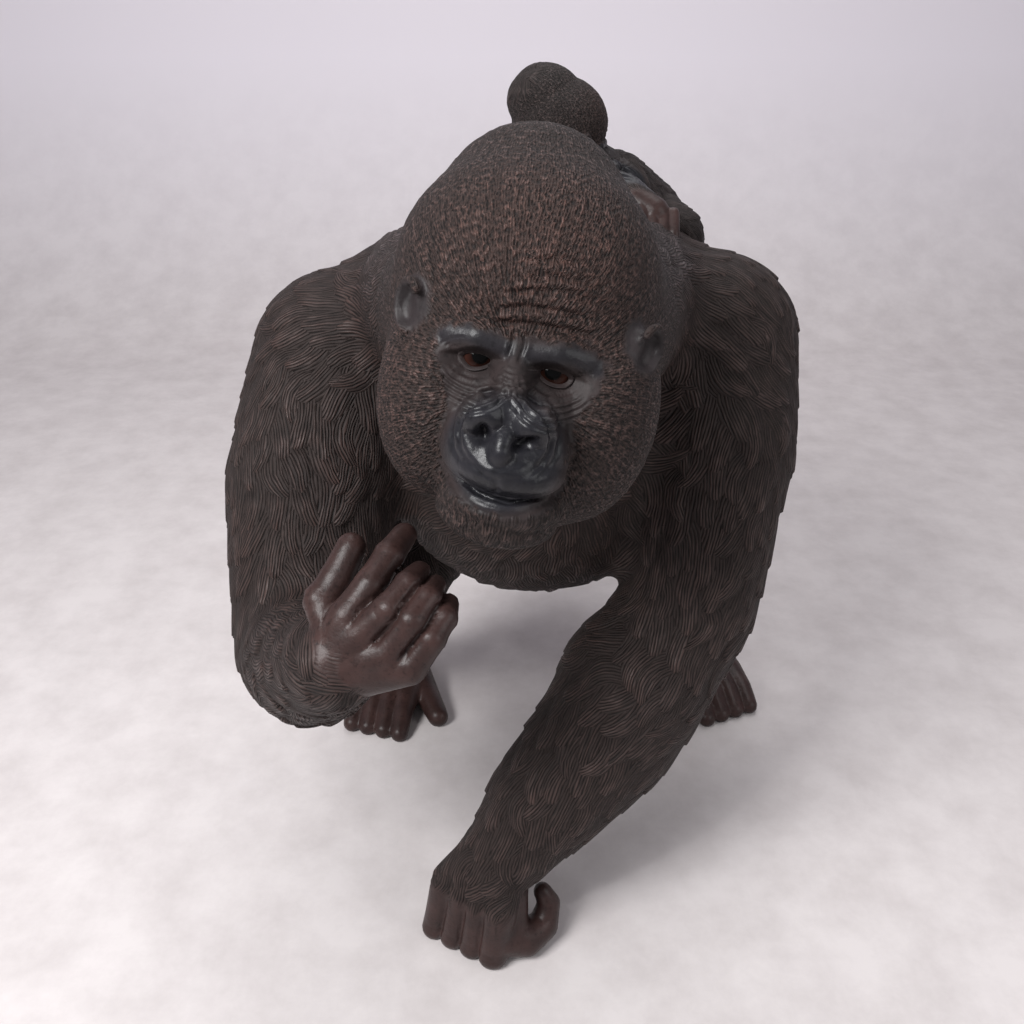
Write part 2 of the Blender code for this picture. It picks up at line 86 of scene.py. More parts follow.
LEFT_HIP, LEFT_KNEE, LEFT_ANKLE = (0.150, 0.410, 0.500), (0.270, 0.100, 0.340), (0.335, 0.290, 0.085)
RIGHT_HIP, RIGHT_KNEE, RIGHT_ANKLE = (-0.050, 0.410, 0.500), (-0.180, 0.050, 0.350), (-0.205, 0.250, 0.085)

bpy.ops.mesh.primitive_uv_sphere_add(segments=24, ring_count=16, radius=1)
pinch = bpy.context.object
PINCH_POINTS = np.array([vert.co for vert in pinch.data.vertices])
PINCH_FACES = [tuple(face.vertices) for face in pinch.data.polygons]
bpy.data.objects.remove(pinch)


def ball(clay, centre, radii, place=Matrix()):
    """Presses on an ellipsoid of clay."""
    spread = np.array(place @ Matrix.Translation(centre) @ Matrix.Diagonal((*radii, 1)))
    clay.append(PINCH_POINTS @ spread[:3, :3].T + spread[:3, 3])


def roll(clay, joints, place=Matrix()):
    """Presses on rolls of clay through (point, radius) joints, round at both ends."""
    scale = place.to_scale().x
    for (start, start_radius), (end, end_radius) in zip(joints, joints[1:]):
        start, end = place @ Vector(start), place @ Vector(end)
        turn = np.array((end - start).to_track_quat("Z", "Y").to_matrix())
        far = PINCH_POINTS[:, 2:] > 1e-4
        radii = np.where(far, end_radius, start_radius) * scale
        clay.append(PINCH_POINTS * radii @ turn.T + np.where(far, np.array(end), np.array(start)))


def between(a, b, share, push=(0, 0, 0)):
    return Vector(a).lerp(Vector(b), share) + Vector(push)


def shape(piece, kind, **settings):
    """Puts a modifier on a piece and applies it."""
    bpy.ops.object.select_all(action="DESELECT")
    piece.select_set(True)
    bpy.context.view_layer.objects.active = piece
    modifier = piece.modifiers.new(kind.title(), kind)
    for key, value in settings.items():
        setattr(modifier, key, value)
    bpy.ops.object.modifier_apply(modifier=modifier.name)


def knead(name, clay, voxel, smoothings, base=None):
    """Joins the pinches, and a base under them, into one skin, and smooths it."""
    count = len(PINCH_POINTS)
    mesh = bpy.data.meshes.new(name)
    faces = [tuple(i + k * count for i in face) for k in range(len(clay)) for face in PINCH_FACES]
    mesh.from_pydata(np.concatenate(clay).tolist(), [], faces)
    piece = bpy.data.objects.new(name, mesh)
    bpy.context.scene.collection.objects.link(piece)
    if base is not None:
        bpy.ops.object.select_all(action="DESELECT")
        base.select_set(True)
        piece.select_set(True)
        bpy.context.view_layer.objects.active = piece
        bpy.ops.object.join()
    shape(piece, "REMESH", mode="VOXEL", voxel_size=voxel)
    keep_outer_skin(piece)
    shape(piece, "SMOOTH", factor=0.5, iterations=smoothings)
    return piece


def keep_outer_skin(piece):
    """Takes out the skins of pockets shut inside the clay."""
    bpy.context.view_layer.objects.active = piece
    heights = [vert.co.z for vert in piece.data.vertices]
    bpy.ops.object.mode_set(mode="EDIT")
    bpy.ops.mesh.select_mode(type="VERT")
    bpy.ops.mesh.select_all(action="DESELECT")
    bpy.ops.object.mode_set(mode="OBJECT")
    piece.data.vertices[int(np.argmax(heights))].select = True
    bpy.ops.object.mode_set(mode="EDIT")
    bpy.ops.mesh.select_linked()
    bpy.ops.mesh.select_all(action="INVERT")
    bpy.ops.mesh.delete(type="VERT")
    bpy.ops.object.mode_set(mode="OBJECT")


def model_skull(clay, head):
    """The domed crown, the full cheeks and the jaw, leaning a little to the right of the face."""
    ball(clay, (-0.006, 0.040, 0.045), (0.129, 0.135, 0.122), head)
    ball(clay, (-0.013, 0.085, 0.095), (0.099, 0.108, 0.098), head)
    ball(clay, (0.014, -0.015, -0.115), (0.092, 0.085, 0.062), head)
    for side in (-1, 1):
        ball(clay, (0.008 + side * 0.066, 0.000, -0.058), (0.067, 0.095, 0.106), head)


clay = []
ball(clay, CHEST, (0.235, 0.270, 0.240))
ball(clay, BACK, (0.205, 0.230, 0.150))
ball(clay, (0.045, 0.290, 0.545), (0.205, 0.270, 0.210))
ball(clay, (0.035, 0.280, 0.645), (0.190, 0.250, 0.152))
ball(clay, RUMP, (0.185, 0.170, 0.170))
for side in (-1, 1):
    ball(clay, Vector(RUMP) + Vector((side * 0.085, 0.060, -0.045)), (0.100, 0.100, 0.100))
roll(clay, [(HEAD @ Vector((0, 0.04, 0.030)), 0.098), (BACK, 0.098)])
for side, shoulder in ((-1, RIGHT_SHOULDER), (1, LEFT_SHOULDER)):
    trapezius = between(BACK, shoulder, 0.58, (0, 0, 0.052))
    roll(clay, [(HEAD @ Vector((side * 0.03, 0.06, 0.01)), 0.110), (trapezius, 0.100), (shoulder, 0.100)])
roll(clay, [(HEAD @ Vector((0, 0.03, -0.07)), 0.100), (CHEST, 0.150)])
planted_arm = [
    (LEFT_SHOULDER, 0.116),
    (between(LEFT_SHOULDER, LEFT_ELBOW, 0.40, (0.012, 0, 0)), 0.110),
    (LEFT_ELBOW, 0.084),
    (between(LEFT_ELBOW, LEFT_WRIST, 0.30), 0.100),
    (between(LEFT_ELBOW, LEFT_WRIST, 0.50, (0.012, 0, -0.004)), 0.093),
    (between(LEFT_ELBOW, LEFT_WRIST, 0.80), 0.076),
    (LEFT_WRIST, 0.058),
]
roll(clay, planted_arm)
raised_arm = [
    (RIGHT_SHOULDER, 0.116),
    (between(RIGHT_SHOULDER, RIGHT_ELBOW, 0.45, (-0.017, 0, 0)), 0.110),
    (RIGHT_ELBOW, 0.084),
    (between(RIGHT_ELBOW, RIGHT_WRIST, 0.40, (0, 0, -0.010)), 0.080),
    (RIGHT_WRIST, 0.050),
]
roll(clay, raised_arm)
for hip, knee, ankle in ((LEFT_HIP, LEFT_KNEE, LEFT_ANKLE), (RIGHT_HIP, RIGHT_KNEE, RIGHT_ANKLE)):
    roll(clay, [(hip, 0.120), (between(hip, knee, 0.5), 0.115), (knee, 0.083)])
    roll(clay, [(knee, 0.083), (between(knee, ankle, 0.4), 0.075), (ankle, 0.045)])
model_skull(clay, HEAD)
body = knead("body", clay, ROUGH_VOXEL, 10)
shape(body, "SUBSURF", levels=1, render_levels=1)

# The mother's face
# Bare leathery skin, modelled on the smoothed skull: a heavy brow, a broad nose in a ring of folds, a full
# muzzle with thin closed lips, and small ears set far back in the fur.
FINE_VOXEL = 0.0028
EAR_PLACES = {-1: (-0.094, -0.050, 0.012), 1: (0.102, -0.050, 0.016)}


def ear_point(side, ahead, up, out):
    """A point on an ear, from its middle: ahead to the face, up, and out from the skull."""
    x, y, z = EAR_PLACES[side]
    return Vector((x + side * (0.80 * out - 0.60 * ahead), y - 0.60 * out - 0.80 * ahead, z + up))


def model_face(clay, head):
    ball(clay, (0.002, -0.050, -0.060), (0.074, 0.058, 0.056), head)
    ball(clay, (0.006, -0.086, -0.086), (0.057, 0.054, 0.048), head)
    ball(clay, (0.011, -0.094, -0.098), (0.051, 0.054, 0.026), head)
    ball(clay, (0.012, -0.084, -0.132), (0.055, 0.056, 0.023), head)
    ball(clay, (0.010, -0.074, -0.148), (0.056, 0.056, 0.028), head)
    bridge = [((0, -0.078, -0.008), 0.013), ((0, -0.100, -0.030), 0.015), ((0.003, -0.124, -0.050), 0.014)]
    roll(clay, bridge, head)
    ball(clay, (0.004, -0.122, -0.078), (0.012, 0.026, 0.024), head)
    for side in (-1, 1):
        ball(clay, (0.004 + side * 0.020, -0.122, -0.055), (0.021, 0.022, 0.017), head)
        wing = [
            ((0.004 + side * 0.030, -0.120, -0.058), 0.0120),
            ((0.004 + side * 0.031, -0.120, -0.074), 0.0110),
            ((0.004 + side * 0.020, -0.128, -0.090), 0.0100),
            ((0.004, -0.134, -0.094), 0.0095),
        ]
        roll(clay, wing, head)
        brow = [
            ((side * 0.074, -0.050, -0.008), 0.0150),
            ((side * 0.056, -0.069, -0.002), 0.0160),
            ((side * 0.034, -0.080, 0.000), 0.0165),
            ((0.000, -0.080, -0.003), 0.0140),
        ]
        roll(clay, brow, head)
        ball(clay, (side * 0.036, -0.050, -0.036), (0.034, 0.030, 0.028), head)
        rim = []
        for angle in range(40, 300, 20):
            ahead, up = 0.0150 * math.cos(math.radians(angle)), 0.0205 * math.sin(math.radians(angle))
            rim.append((ear_point(side, ahead, up, 0.0105), 0.0046))
        roll(clay, rim, head)
        ball(clay, ear_point(side, 0, 0, -0.004), (0.013, 0.013, 0.018), head)
        ear_fold = [(ear_point(side, 0.002, 0.010, 0.006), 0.003)]
        ear_fold += [(ear_point(side, -0.005, -0.006, 0.006), 0.003)]
        roll(clay, ear_fold, head)


detail = []
model_face(detail, HEAD)

# The raised hand
# The open right hand, its back to the viewer and its fingers curling in: four fingers and a thumb, each a
# roll of clay with swollen joints, running out of the back of the hand.
raised_hand = Matrix.Translation(RIGHT_WRIST)
FINGERS = [
    [(0.006, -0.001, 0.026), (-0.010, 0.026, 0.058), (0.004, 0.040, 0.074), (0.017, 0.058, 0.099)],
    [(0.020, -0.002, 0.058), (0.040, 0.016, 0.082), (0.056, 0.044, 0.098), (0.068, 0.076, 0.103)],
    [(0.032, -0.015, 0.045), (0.061, -0.014, 0.074), (0.078, 0.008, 0.086), (0.085, 0.040, 0.080)],
    [(0.059, -0.027, 0.033), (0.083, -0.023, 0.068), (0.096, -0.003, 0.079), (0.100, 0.030, 0.072)],
    [(0.080, -0.033, 0.021), (0.101, -0.027, 0.050), (0.112, -0.010, 0.062), (0.114, 0.016, 0.060)],
]
FINGER_SIZES = (1.20, 1.02, 1.00, 0.95, 0.88)
FINGER_RADIUS = 0.0144
for joints, size in zip(FINGERS, FINGER_SIZES):
    roll(detail, [((0, 0, 0), 0.040), (joints[0], FINGER_RADIUS * 1.35 * size)], raised_hand)
    radii = [FINGER_RADIUS * size * share for share in (1.30, 1.06, 1.02, 0.90)]
    roll(detail, list(zip(joints, radii)), raised_hand)

# The planted fist
# The left hand walks on its knuckles: four fingers folded under, and the thumb curled beside them.
fist = Matrix.Translation(LEFT_WRIST)
FIST_SPACING = Vector((0.87, -0.49, 0)).normalized() * 0.0305
FIST_RADIUS = 0.0175
FIST_FINGERS = []
for i, size in enumerate((0.90, 1.00, 1.04, 1.10)):
    radius = FIST_RADIUS * size
    knuckle = Vector((-0.080, 0.000, -0.052)) + FIST_SPACING * i * 0.92
    ground = Vector((-0.097, -0.004, radius - 0.0035 - LEFT_WRIST[2])) + FIST_SPACING * i
    tucked = ground + Vector((0.020, 0.034, 0.002))
    tip = tucked + Vector((0.004, 0.006, 0.026))
    finger = [((-0.010, 0, 0), 0.0493), (knuckle, radius * 1.25), (ground, radius * 1.06)]
    roll(detail, finger + [(tucked, radius), (tip, radius * 0.9)], fist)
    FIST_FINGERS.append((knuckle, ground, tucked, tip))
THUMB = [
    ((0.000, -0.005, -0.060), 0.030),
    ((0.000, -0.034, -0.114), 0.0300),
    ((0.026, -0.034, -0.126), 0.0240),
    ((0.050, -0.014, -0.124), 0.0205),
    ((0.058, 0.000, -0.098), 0.0155),
    ((0.049, 0.004, -0.080), 0.0125),
]
roll(detail, THUMB, fist)

# The feet
# Flat on the floor: heel, sole, four toes and a big toe splayed like a thumb on the inner side.
for ankle, heading in ((LEFT_ANKLE, 12), (RIGHT_ANKLE, -6)):
    inner = 1 if ankle[0] < 0 else -1
    foot = Matrix.Translation((ankle[0], ankle[1], 0)) @ Matrix.Rotation(math.radians(heading), 4, "Z")
    roll(detail, [((0, 0.045, 0.0345), 0.038), ((0, 0.0, ankle[2]), 0.045)], foot)
    for i in range(4):
        x = -inner * (i - 1.0) * 0.029
        reach = 0.006 * i
        toe = [((0.5 * x, 0.020, 0.042), 0.036), ((0.9 * x, -0.085 + reach, 0.030), 0.024)]
        toe += [((x, -0.130 + reach, 0.026), 0.0170), ((x, -0.166 + reach, 0.012), 0.0155)]
        roll(detail, toe, foot)
    big_toe = [((inner * 0.010, 0.010, 0.036), 0.034), ((inner * 0.055, -0.060, 0.022), 0.023)]
    big_toe += [((inner * 0.088, -0.118, 0.0145), 0.0185)]
    roll(detail, big_toe, foot)

mother = knead("gorilla_mother", detail, FINE_VOXEL, 3, base=body)

# The carving on the face
# Cut with a modelling tool once the skin is smooth: eyelids round the glass eyes, nostrils, the line of the
# mouth, the folds under the eyes and round the nose, and the frown across the forehead.
EYE_RADIUS = 0.0205
EYE_PLACE = np.array((0.0325, -0.0610, -0.0178))
FACE_CENTRE, FACE_REACH = (0.004, -0.100, -0.050), (0.085, 0.075, 0.100)
CREASE_DEPTH, FIST_CREASE_DEPTH = 0.0055, 0.0040


def ease(x, low, high):
    """Rises smoothly from 0 at low to 1 at high."""
    t = np.clip((x - low) / (high - low), 0, 1)
    return t * t * (3 - 2 * t)


def read_points(piece):
    values = np.empty(len(piece.data.vertices) * 3, np.float32)
    piece.data.vertices.foreach_get("co", values)
    return values.reshape(-1, 3).astype(float)


def read_normals(piece):
    values = np.empty(len(piece.data.vertices) * 3, np.float32)
    piece.data.vertices.foreach_get("normal", values)
    return values.reshape(-1, 3).astype(float)


def write_points(piece, points):
    piece.data.vertices.foreach_set("co", points.astype(np.float32).ravel())
    piece.data.update()


def to_local(points, place):
    """The points in a place's own axes, at the mother's scale."""
    inverse = np.array(place.inverted())
    return points @ inverse[:3, :3].T + inverse[:3, 3]


def to_world(points, place):
    matrix = np.array(place)
    return points @ matrix[:3, :3].T + matrix[:3, 3]


def refine(piece, chosen):
    """Divides the chosen faces once, so that they can take finer carving."""
    bpy.context.view_layer.objects.active = piece
    bpy.ops.object.mode_set(mode="EDIT")
    bpy.ops.mesh.select_mode(type="VERT")
    bpy.ops.mesh.select_all(action="DESELECT")
    bpy.ops.object.mode_set(mode="OBJECT")
    piece.data.vertices.foreach_set("select", chosen)
    bpy.ops.object.mode_set(mode="EDIT")
    bpy.ops.mesh.select_mode(type="FACE")
    bpy.ops.mesh.subdivide(number_cuts=1)
    bpy.ops.mesh.select_mode(type="VERT")
    bpy.ops.object.mode_set(mode="OBJECT")


def near_line(flat, line):
    """How far each flat point is from a line of points, and how far along the line, from 0 to 1."""
    line = np.array(line)
    distance = np.full(len(flat), 9.0)
    along = np.zeros(len(flat))
    for k, (start, end) in enumerate(zip(line, line[1:])):
        run = end - start
        share = np.clip((flat - start) @ run / (run @ run), 0, 1)
        apart = np.linalg.norm(flat - start - share[:, None] * run, axis=1)
        nearer = apart < distance
        distance[nearer] = apart[nearer]
        along[nearer] = (k + share[nearer]) / (len(line) - 1)
    return distance, along


def groove(flat, line, width, depth, edge=0.45):
    """The height left by a tool drawn along a line: a groove that fades at its ends, with raised edges."""
    distance, along = near_line(flat, line)
    fade = np.clip(6.4 * along * (1 - along), 0, 1)
    cut = edge * np.exp(-(((distance - 1.9 * width) / width) ** 2)) - np.exp(-((distance / width) ** 2))
    return fade * depth * cut


def arc(centre, radii, start, end, lean=0.0, count=14):
    """Points along part of an ellipse, with angles in degrees from +x."""
    points = []
    for k in range(count + 1):
        angle = math.radians(start + (end - start) * k / count)
        x, z = radii[0] * math.cos(angle), radii[1] * math.sin(angle)
        points.append((centre[0] + x, centre[1] + z + lean * x))
    return points


MOUTH = [
    (-0.046, -0.1060), (-0.032, -0.1130), (-0.010, -0.1190),
    (0.018, -0.1205), (0.042, -0.1160), (0.064, -0.1060),
]
FROWN = [
    [(-0.030, 0.014), (-0.004, 0.020), (0.030, 0.021), (0.064, 0.019)],
    [(-0.028, 0.024), (-0.002, 0.034), (0.027, 0.036), (0.064, 0.033)],
    [(-0.026, 0.037), (-0.001, 0.047), (0.032, 0.051), (0.066, 0.046)],
    [(-0.018, 0.052), (0.008, 0.061), (0.038, 0.063), (0.060, 0.060)],
    [(-0.014, 0.066), (0.018, 0.075), (0.040, 0.076)],
]


def carve_face(piece, head):
    """Sets the lids round the eyes and cuts the folds, in the head's axes, where the face looks along -y."""
    scale = head.to_scale().x
    points = read_points(piece)
    on_face = np.linalg.norm(to_local(points, head) - (0, -0.09, -0.04), axis=1) < 0.17
    local = to_local(points[on_face], head)
    for side in (-1, 1):
        local = set_lids(local, side)
    points[on_face] = to_world(local, head)
    write_points(piece, points)
    front = ease(-local[:, 1], 0.02, 0.05)
    height = (fold_height(local) + nose_height(local)) * front + ear_height(local)
    points[on_face] += read_normals(piece)[on_face] * (height * scale)[:, None]
    write_points(piece, points)


def fold_height(local):
    """The frown, the folds round the eyes and over the bridge of the nose, and the line of the mouth."""
    flat = local[:, [0, 2]]
    height = np.zeros(len(flat))
    for line in FROWN:
        wavy = [(x, z + 0.0012 * math.sin(x * 420)) for x, z in line]
        height += groove(flat, wavy, 0.0026, 0.0024)
    for side in (-1, 1):
        eye = (side * EYE_PLACE[0], EYE_PLACE[2])
        for k in range(5):
            fold = arc(eye, (0.0240 + 0.0042 * k, 0.0150 + 0.0052 * k), 195, 345, lean=-side * 0.10)
            height += groove(flat, fold, 0.0013, 0.0014 - 0.0001 * k)
        for k in range(3):
            crease = arc(eye, (0.026 + 0.004 * k, 0.012 + 0.003 * k), 90 - side * 75, 90 - side * 20)
            height += groove(flat, crease, 0.0012, 0.0008)
    for k in range(3):
        height += groove(flat, arc((0.001, -0.016 - 0.0040 * k), (0.012, 0.003), 200, 340), 0.0012, 0.0008)
    for side in (-1, 1):
        beside = np.hypot((flat[:, 0] - side * EYE_PLACE[0]) / 0.0215, (flat[:, 1] - EYE_PLACE[2]) / 0.0130)
        height *= ease(beside, 0.95, 1.20)
    for x in (-0.007, 0.003):
        height += groove(flat, [(x, 0.013), (x + 0.001, 0.002), (x - 0.001, -0.013)], 0.0018, 0.0018)
    height += groove(flat, MOUTH, 0.0016, 0.0042, edge=0.25)
    height += groove(flat, [(x * 0.8, z - 0.0115) for x, z in MOUTH], 0.0026, 0.0012)
    return height + groove(flat, [(0.004, -0.098), (0.006, -0.106), (0.008, -0.113)], 0.0030, 0.0010)


def nose_height(local):
    """The raised pad of the nose with its wings and nostrils, and the two ridges that run round it."""
    flat = local[:, [0, 2]]
    apart = np.hypot((flat[:, 0] - 0.004) / 0.0375, (flat[:, 1] + 0.0670) / 0.0335)
    height = 0.0022 * (1 - ease(apart, 0.78, 1.0))
    for width, tall, depth in ((0.0385, 0.0345, 0.0022), (0.0450, 0.0405, 0.0014)):
        height += groove(flat, arc((0.004, -0.067), (width, tall), -50, 230), 0.0022, depth)
    height += groove(flat, [(0.003, -0.038), (0.003, -0.046), (0.004, -0.056)], 0.0036, 0.0010)
    for x, z in ((-0.0145, -0.0530), (0.0220, -0.0550)):
        height += 0.0022 * np.exp(-(np.hypot(flat[:, 0] - x, flat[:, 1] - z) / 0.0100) ** 2)
    septum = np.hypot((flat[:, 0] - 0.004) / 0.0070, (flat[:, 1] + 0.0770) / 0.0130)
    height += 0.0018 * np.exp(-(septum**2))
    nostrils = [(-0.0135, -0.0665, 0.0052, 0.0085, -0.15), (0.0215, -0.0670, 0.0088, 0.0054, 0.45)]
    for x, z, wide, tall, lean in nostrils:
        across, up = flat[:, 0] - x, flat[:, 1] - z - lean * (flat[:, 0] - x)
        height -= 0.0105 * np.exp(-((across / wide) ** 2 + (up / tall) ** 2))
    return height


def ear_height(local):
    """The hollow inside the rim of each ear."""
    height = np.zeros(len(local))
    for side in (-1, 1):
        x, y, z = (local - np.array(EAR_PLACES[side])).T
        ahead, out = -side * 0.60 * x - 0.80 * y, side * 0.80 * x - 0.60 * y
        height -= 0.0050 * np.exp(-((ahead / 0.0075) ** 2 + (z / 0.0125) ** 2)) * (np.abs(out) < 0.02)
    return height


def set_lids(local, side):
    """Draws the skin over the front of one eye into two lids, and behind the glass between them."""
    centre = EYE_PLACE * (side, 1, 1)
    reach = local - centre
    distance = np.linalg.norm(reach, axis=1)
    x, z = side * reach[:, 0], reach[:, 2]
    share = np.clip(x / 0.0190, -1, 1)
    tall = np.where(z > -0.0010 - 0.06 * x, 0.0072, 0.0088) * (1 - share**2)
    beside = np.maximum(np.abs(x) - 0.0190, 0)
    outside = np.hypot(np.maximum(np.abs(z + 0.0010 + 0.06 * x) - tall, 0), beside)
    inside = np.maximum(tall - np.abs(z + 0.0010 + 0.06 * x), 0) * (np.abs(x) < 0.0190)
    swell = 0.0030 * np.exp(-(((outside - 0.0034) / 0.0024) ** 2))
    lid = 0.0012 + swell + 0.0010 * ease(outside, 0.006, 0.010)
    target = EYE_RADIUS + np.where(inside > 0, 0.0012 - 0.0060 * ease(inside, 0.0, 0.0016), lid)
    above = ease(z, -0.002, 0.006)
    hold = ease(outside, 0.0060 - 0.0040 * above, 0.0150 - 0.0085 * above)
    facing = ease(-reach[:, 1] / np.maximum(distance, 1e-6), 0.25, 0.50)
    near = (distance < 0.045) * facing * (1 - hold)
    moved = distance + (target - distance) * near
    return centre + reach * (moved / np.maximum(distance, 1e-6))[:, None]


def part_fingers(piece, joint, fingers, radius, depth):
    """Presses a crease between neighbouring fingers, and wrinkles across their joints."""
    points = read_points(piece)
    near = np.linalg.norm(points - joint, axis=1) < 0.22
    local = points[near] - joint
    lines = [near_line(local, [tuple(point) for point in joints]) for joints in fingers]
    distances, alongs = np.array(lines).transpose(1, 0, 2)
    order = distances.argsort(0)
    row = np.arange(len(local))
    first, second = distances[order[0], row], distances[order[1], row]
    along = alongs[order[0], row]
    height = -depth * np.exp(-(((second - first) / (0.22 * radius)) ** 2)) * ease(along, 0.02, 0.12)
    close = 1 - ease(first, 1.6 * radius, 2.2 * radius)
    for knuckle in (0.34, 0.67):
        for offset in (-0.050, -0.022, 0.006, 0.034):
            height -= 0.0008 * np.exp(-(((along - knuckle - offset) / 0.009) ** 2)) * close
        height += 0.0016 * np.exp(-(((along - knuckle) / 0.070) ** 2)) * close
    points[near] += read_normals(piece)[near] * (height * ease(first, 0.0, 0.5 * radius))[:, None]
    write_points(piece, points)


def from_face(points, head):
    """How far each point is from the middle of the face, with 1 at the edge of the finely carved part."""
    return np.linalg.norm((to_local(points, head) - FACE_CENTRE) / FACE_REACH, axis=1)


part_fingers(mother, RIGHT_WRIST, FINGERS, FINGER_RADIUS, CREASE_DEPTH)
part_fingers(mother, LEFT_WRIST, FIST_FINGERS, FIST_RADIUS, FIST_CREASE_DEPTH)
refine(mother, from_face(read_points(mother), HEAD) < 1)
carve_face(mother, HEAD)

# The coat
# Fur carved as locks that lie over each other like shingles, each with its own strands. It runs down the
# limbs, back over the trunk, and outwards from the face in short strokes. Hands, feet and face are bare.
# A lock has half its width, half its length and its depth; a strand has its width and its length.
BODY_LOCK, HEAD_LOCK = (0.0165, 0.034, 0.0045), (0.0060, 0.012, 0.0007)
BODY_STRAND, HEAD_STRAND = (0.0037, 0.036), (0.0026, 0.0085)
LOCK_TRIES = 90000
COMBS = [
    ((0.02, -0.20, 0.80), (0.03, 0.30, 0.74), 0.22),
    ((0.03, 0.30, 0.70), (0.05, 0.60, 0.45), 0.22),
    ((0.03, -0.10, 0.45), (0.05, 0.40, 0.38), 0.20),
    (BACK, LEFT_SHOULDER, 0.12),
    (BACK, RIGHT_SHOULDER, 0.12),
    (LEFT_SHOULDER, LEFT_ELBOW, 0.10),
    (LEFT_ELBOW, LEFT_WRIST, 0.09),
    (RIGHT_SHOULDER, RIGHT_ELBOW, 0.10),
    (RIGHT_ELBOW, RIGHT_WRIST, 0.08),
    (LEFT_HIP, LEFT_KNEE, 0.12),
    (LEFT_KNEE, LEFT_ANKLE, 0.09),
    (RIGHT_HIP, RIGHT_KNEE, 0.12),
    (RIGHT_KNEE, RIGHT_ANKLE, 0.09),
]
BARE_FACE = [
    (-0.072, -0.006), (-0.066, 0.004), (-0.044, 0.011), (-0.007, 0.006), (0.020, 0.010), (0.056, 0.011),
    (0.074, 0.003), (0.077, -0.010), (0.070, -0.028), (0.061, -0.047), (0.058, -0.070), (0.061, -0.093),
    (0.063, -0.114), (0.050, -0.127), (0.027, -0.134), (-0.003, -0.132), (-0.027, -0.127), (-0.046, -0.119),
    (-0.049, -0.090), (-0.048, -0.064), (-0.054, -0.045), (-0.064, -0.027),
]


def head_share(points, head):
    """How much each point belongs to the head."""
    local = to_local(points, head)
    apart = np.linalg.norm((local - (0.002, 0.020, -0.010)) / (0.165, 0.190, 0.235), axis=1)
    return 1 - ease(apart, 0.95, 1.06)


def bare_face(points, head):
    """1 on the bare skin of the face and ears, 0 in the fur."""
    local = to_local(points, head)
    flat = local[:, [0, 2]]
    distance, _ = near_line(flat, BARE_FACE + BARE_FACE[:1])
    inside = np.zeros(len(flat), bool)
    for (x0, z0), (x1, z1) in zip(BARE_FACE, BARE_FACE[1:] + BARE_FACE[:1]):
        crosses = (z0 > flat[:, 1]) != (z1 > flat[:, 1])
        if z0 != z1:
            inside ^= crosses & (flat[:, 0] < x0 + (flat[:, 1] - z0) * (x1 - x0) / (z1 - z0))
    depth = np.where(inside, distance, -distance)
    edge = np.flatnonzero(distance < 0.012)
    depth[edge] += [0.006 * noise.noise(Vector(local[k]) * 150) for k in edge]
    face = ease(depth, -0.003, 0.003) * ease(-local[:, 1], 0.035, 0.055)
    return np.maximum(face, bare_ears(local))


def bare_ears(local):
    """1 on the bare skin of the ears."""
    ears = np.zeros(len(local))
    for side in (-1, 1):
        away = np.linalg.norm((local - np.array(EAR_PLACES[side])) / (0.024, 0.022, 0.030), axis=1)
        ears = np.maximum(ears, 1 - ease(away, 0.80, 1.0))
    return ears


def bare_hands(points):
    """1 on the bare skin of the hands and feet."""
    bare = np.zeros(len(points))
    edges = [(RIGHT_WRIST, (0.66, -0.12, 0.74), 0.018, 0.20), (LEFT_WRIST, (0, 0, -1), 0.052, 0.20)]
    edges += [(ankle, (0, -0.30, -0.95), 0.034, 0.26) for ankle in (LEFT_ANKLE, RIGHT_ANKLE)]
    for joint, outwards, edge, reach in edges:
        apart = points - joint
        near = np.linalg.norm(apart, axis=1) < reach
        ragged = np.array([noise.noise(Vector(point) * 60) for point in points[near]]) * 0.014
        share = ease(apart[near] @ np.array(outwards) + ragged, edge, edge + 0.010)
        bare[near] = np.maximum(bare[near], share)
    return bare


def comb_directions(points, normals, head, combs):
    """Which way the fur lies at each point, along the skin."""
    flow = np.zeros_like(points)
    for start, end, reach in combs:
        start, end = np.array(start), np.array(end)
        run = end - start
        share = np.clip((points - start) @ run / (run @ run), 0, 1)
        apart = np.linalg.norm(points - start - share[:, None] * run, axis=1)
        flow += np.exp(-((apart / reach) ** 2) * 2)[:, None] * run / np.linalg.norm(run)
    flow /= np.maximum(np.linalg.norm(flow, axis=1), 1e-9)[:, None]
    local = to_local(points, head)
    spread = local - (0.002, -0.095, -0.040)
    spread[:, 2] -= 0.5 * np.maximum(local[:, 1], 0)
    outward = spread @ np.array(head.to_3x3().normalized()).T
    outward /= np.maximum(np.linalg.norm(outward, axis=1), 1e-9)[:, None]
    share = head_share(points, head)[:, None]
    flow = flow * (1 - share) + outward * share
    flow -= normals * (flow * normals).sum(1)[:, None]
    return flow / np.maximum(np.linalg.norm(flow, axis=1), 1e-9)[:, None]


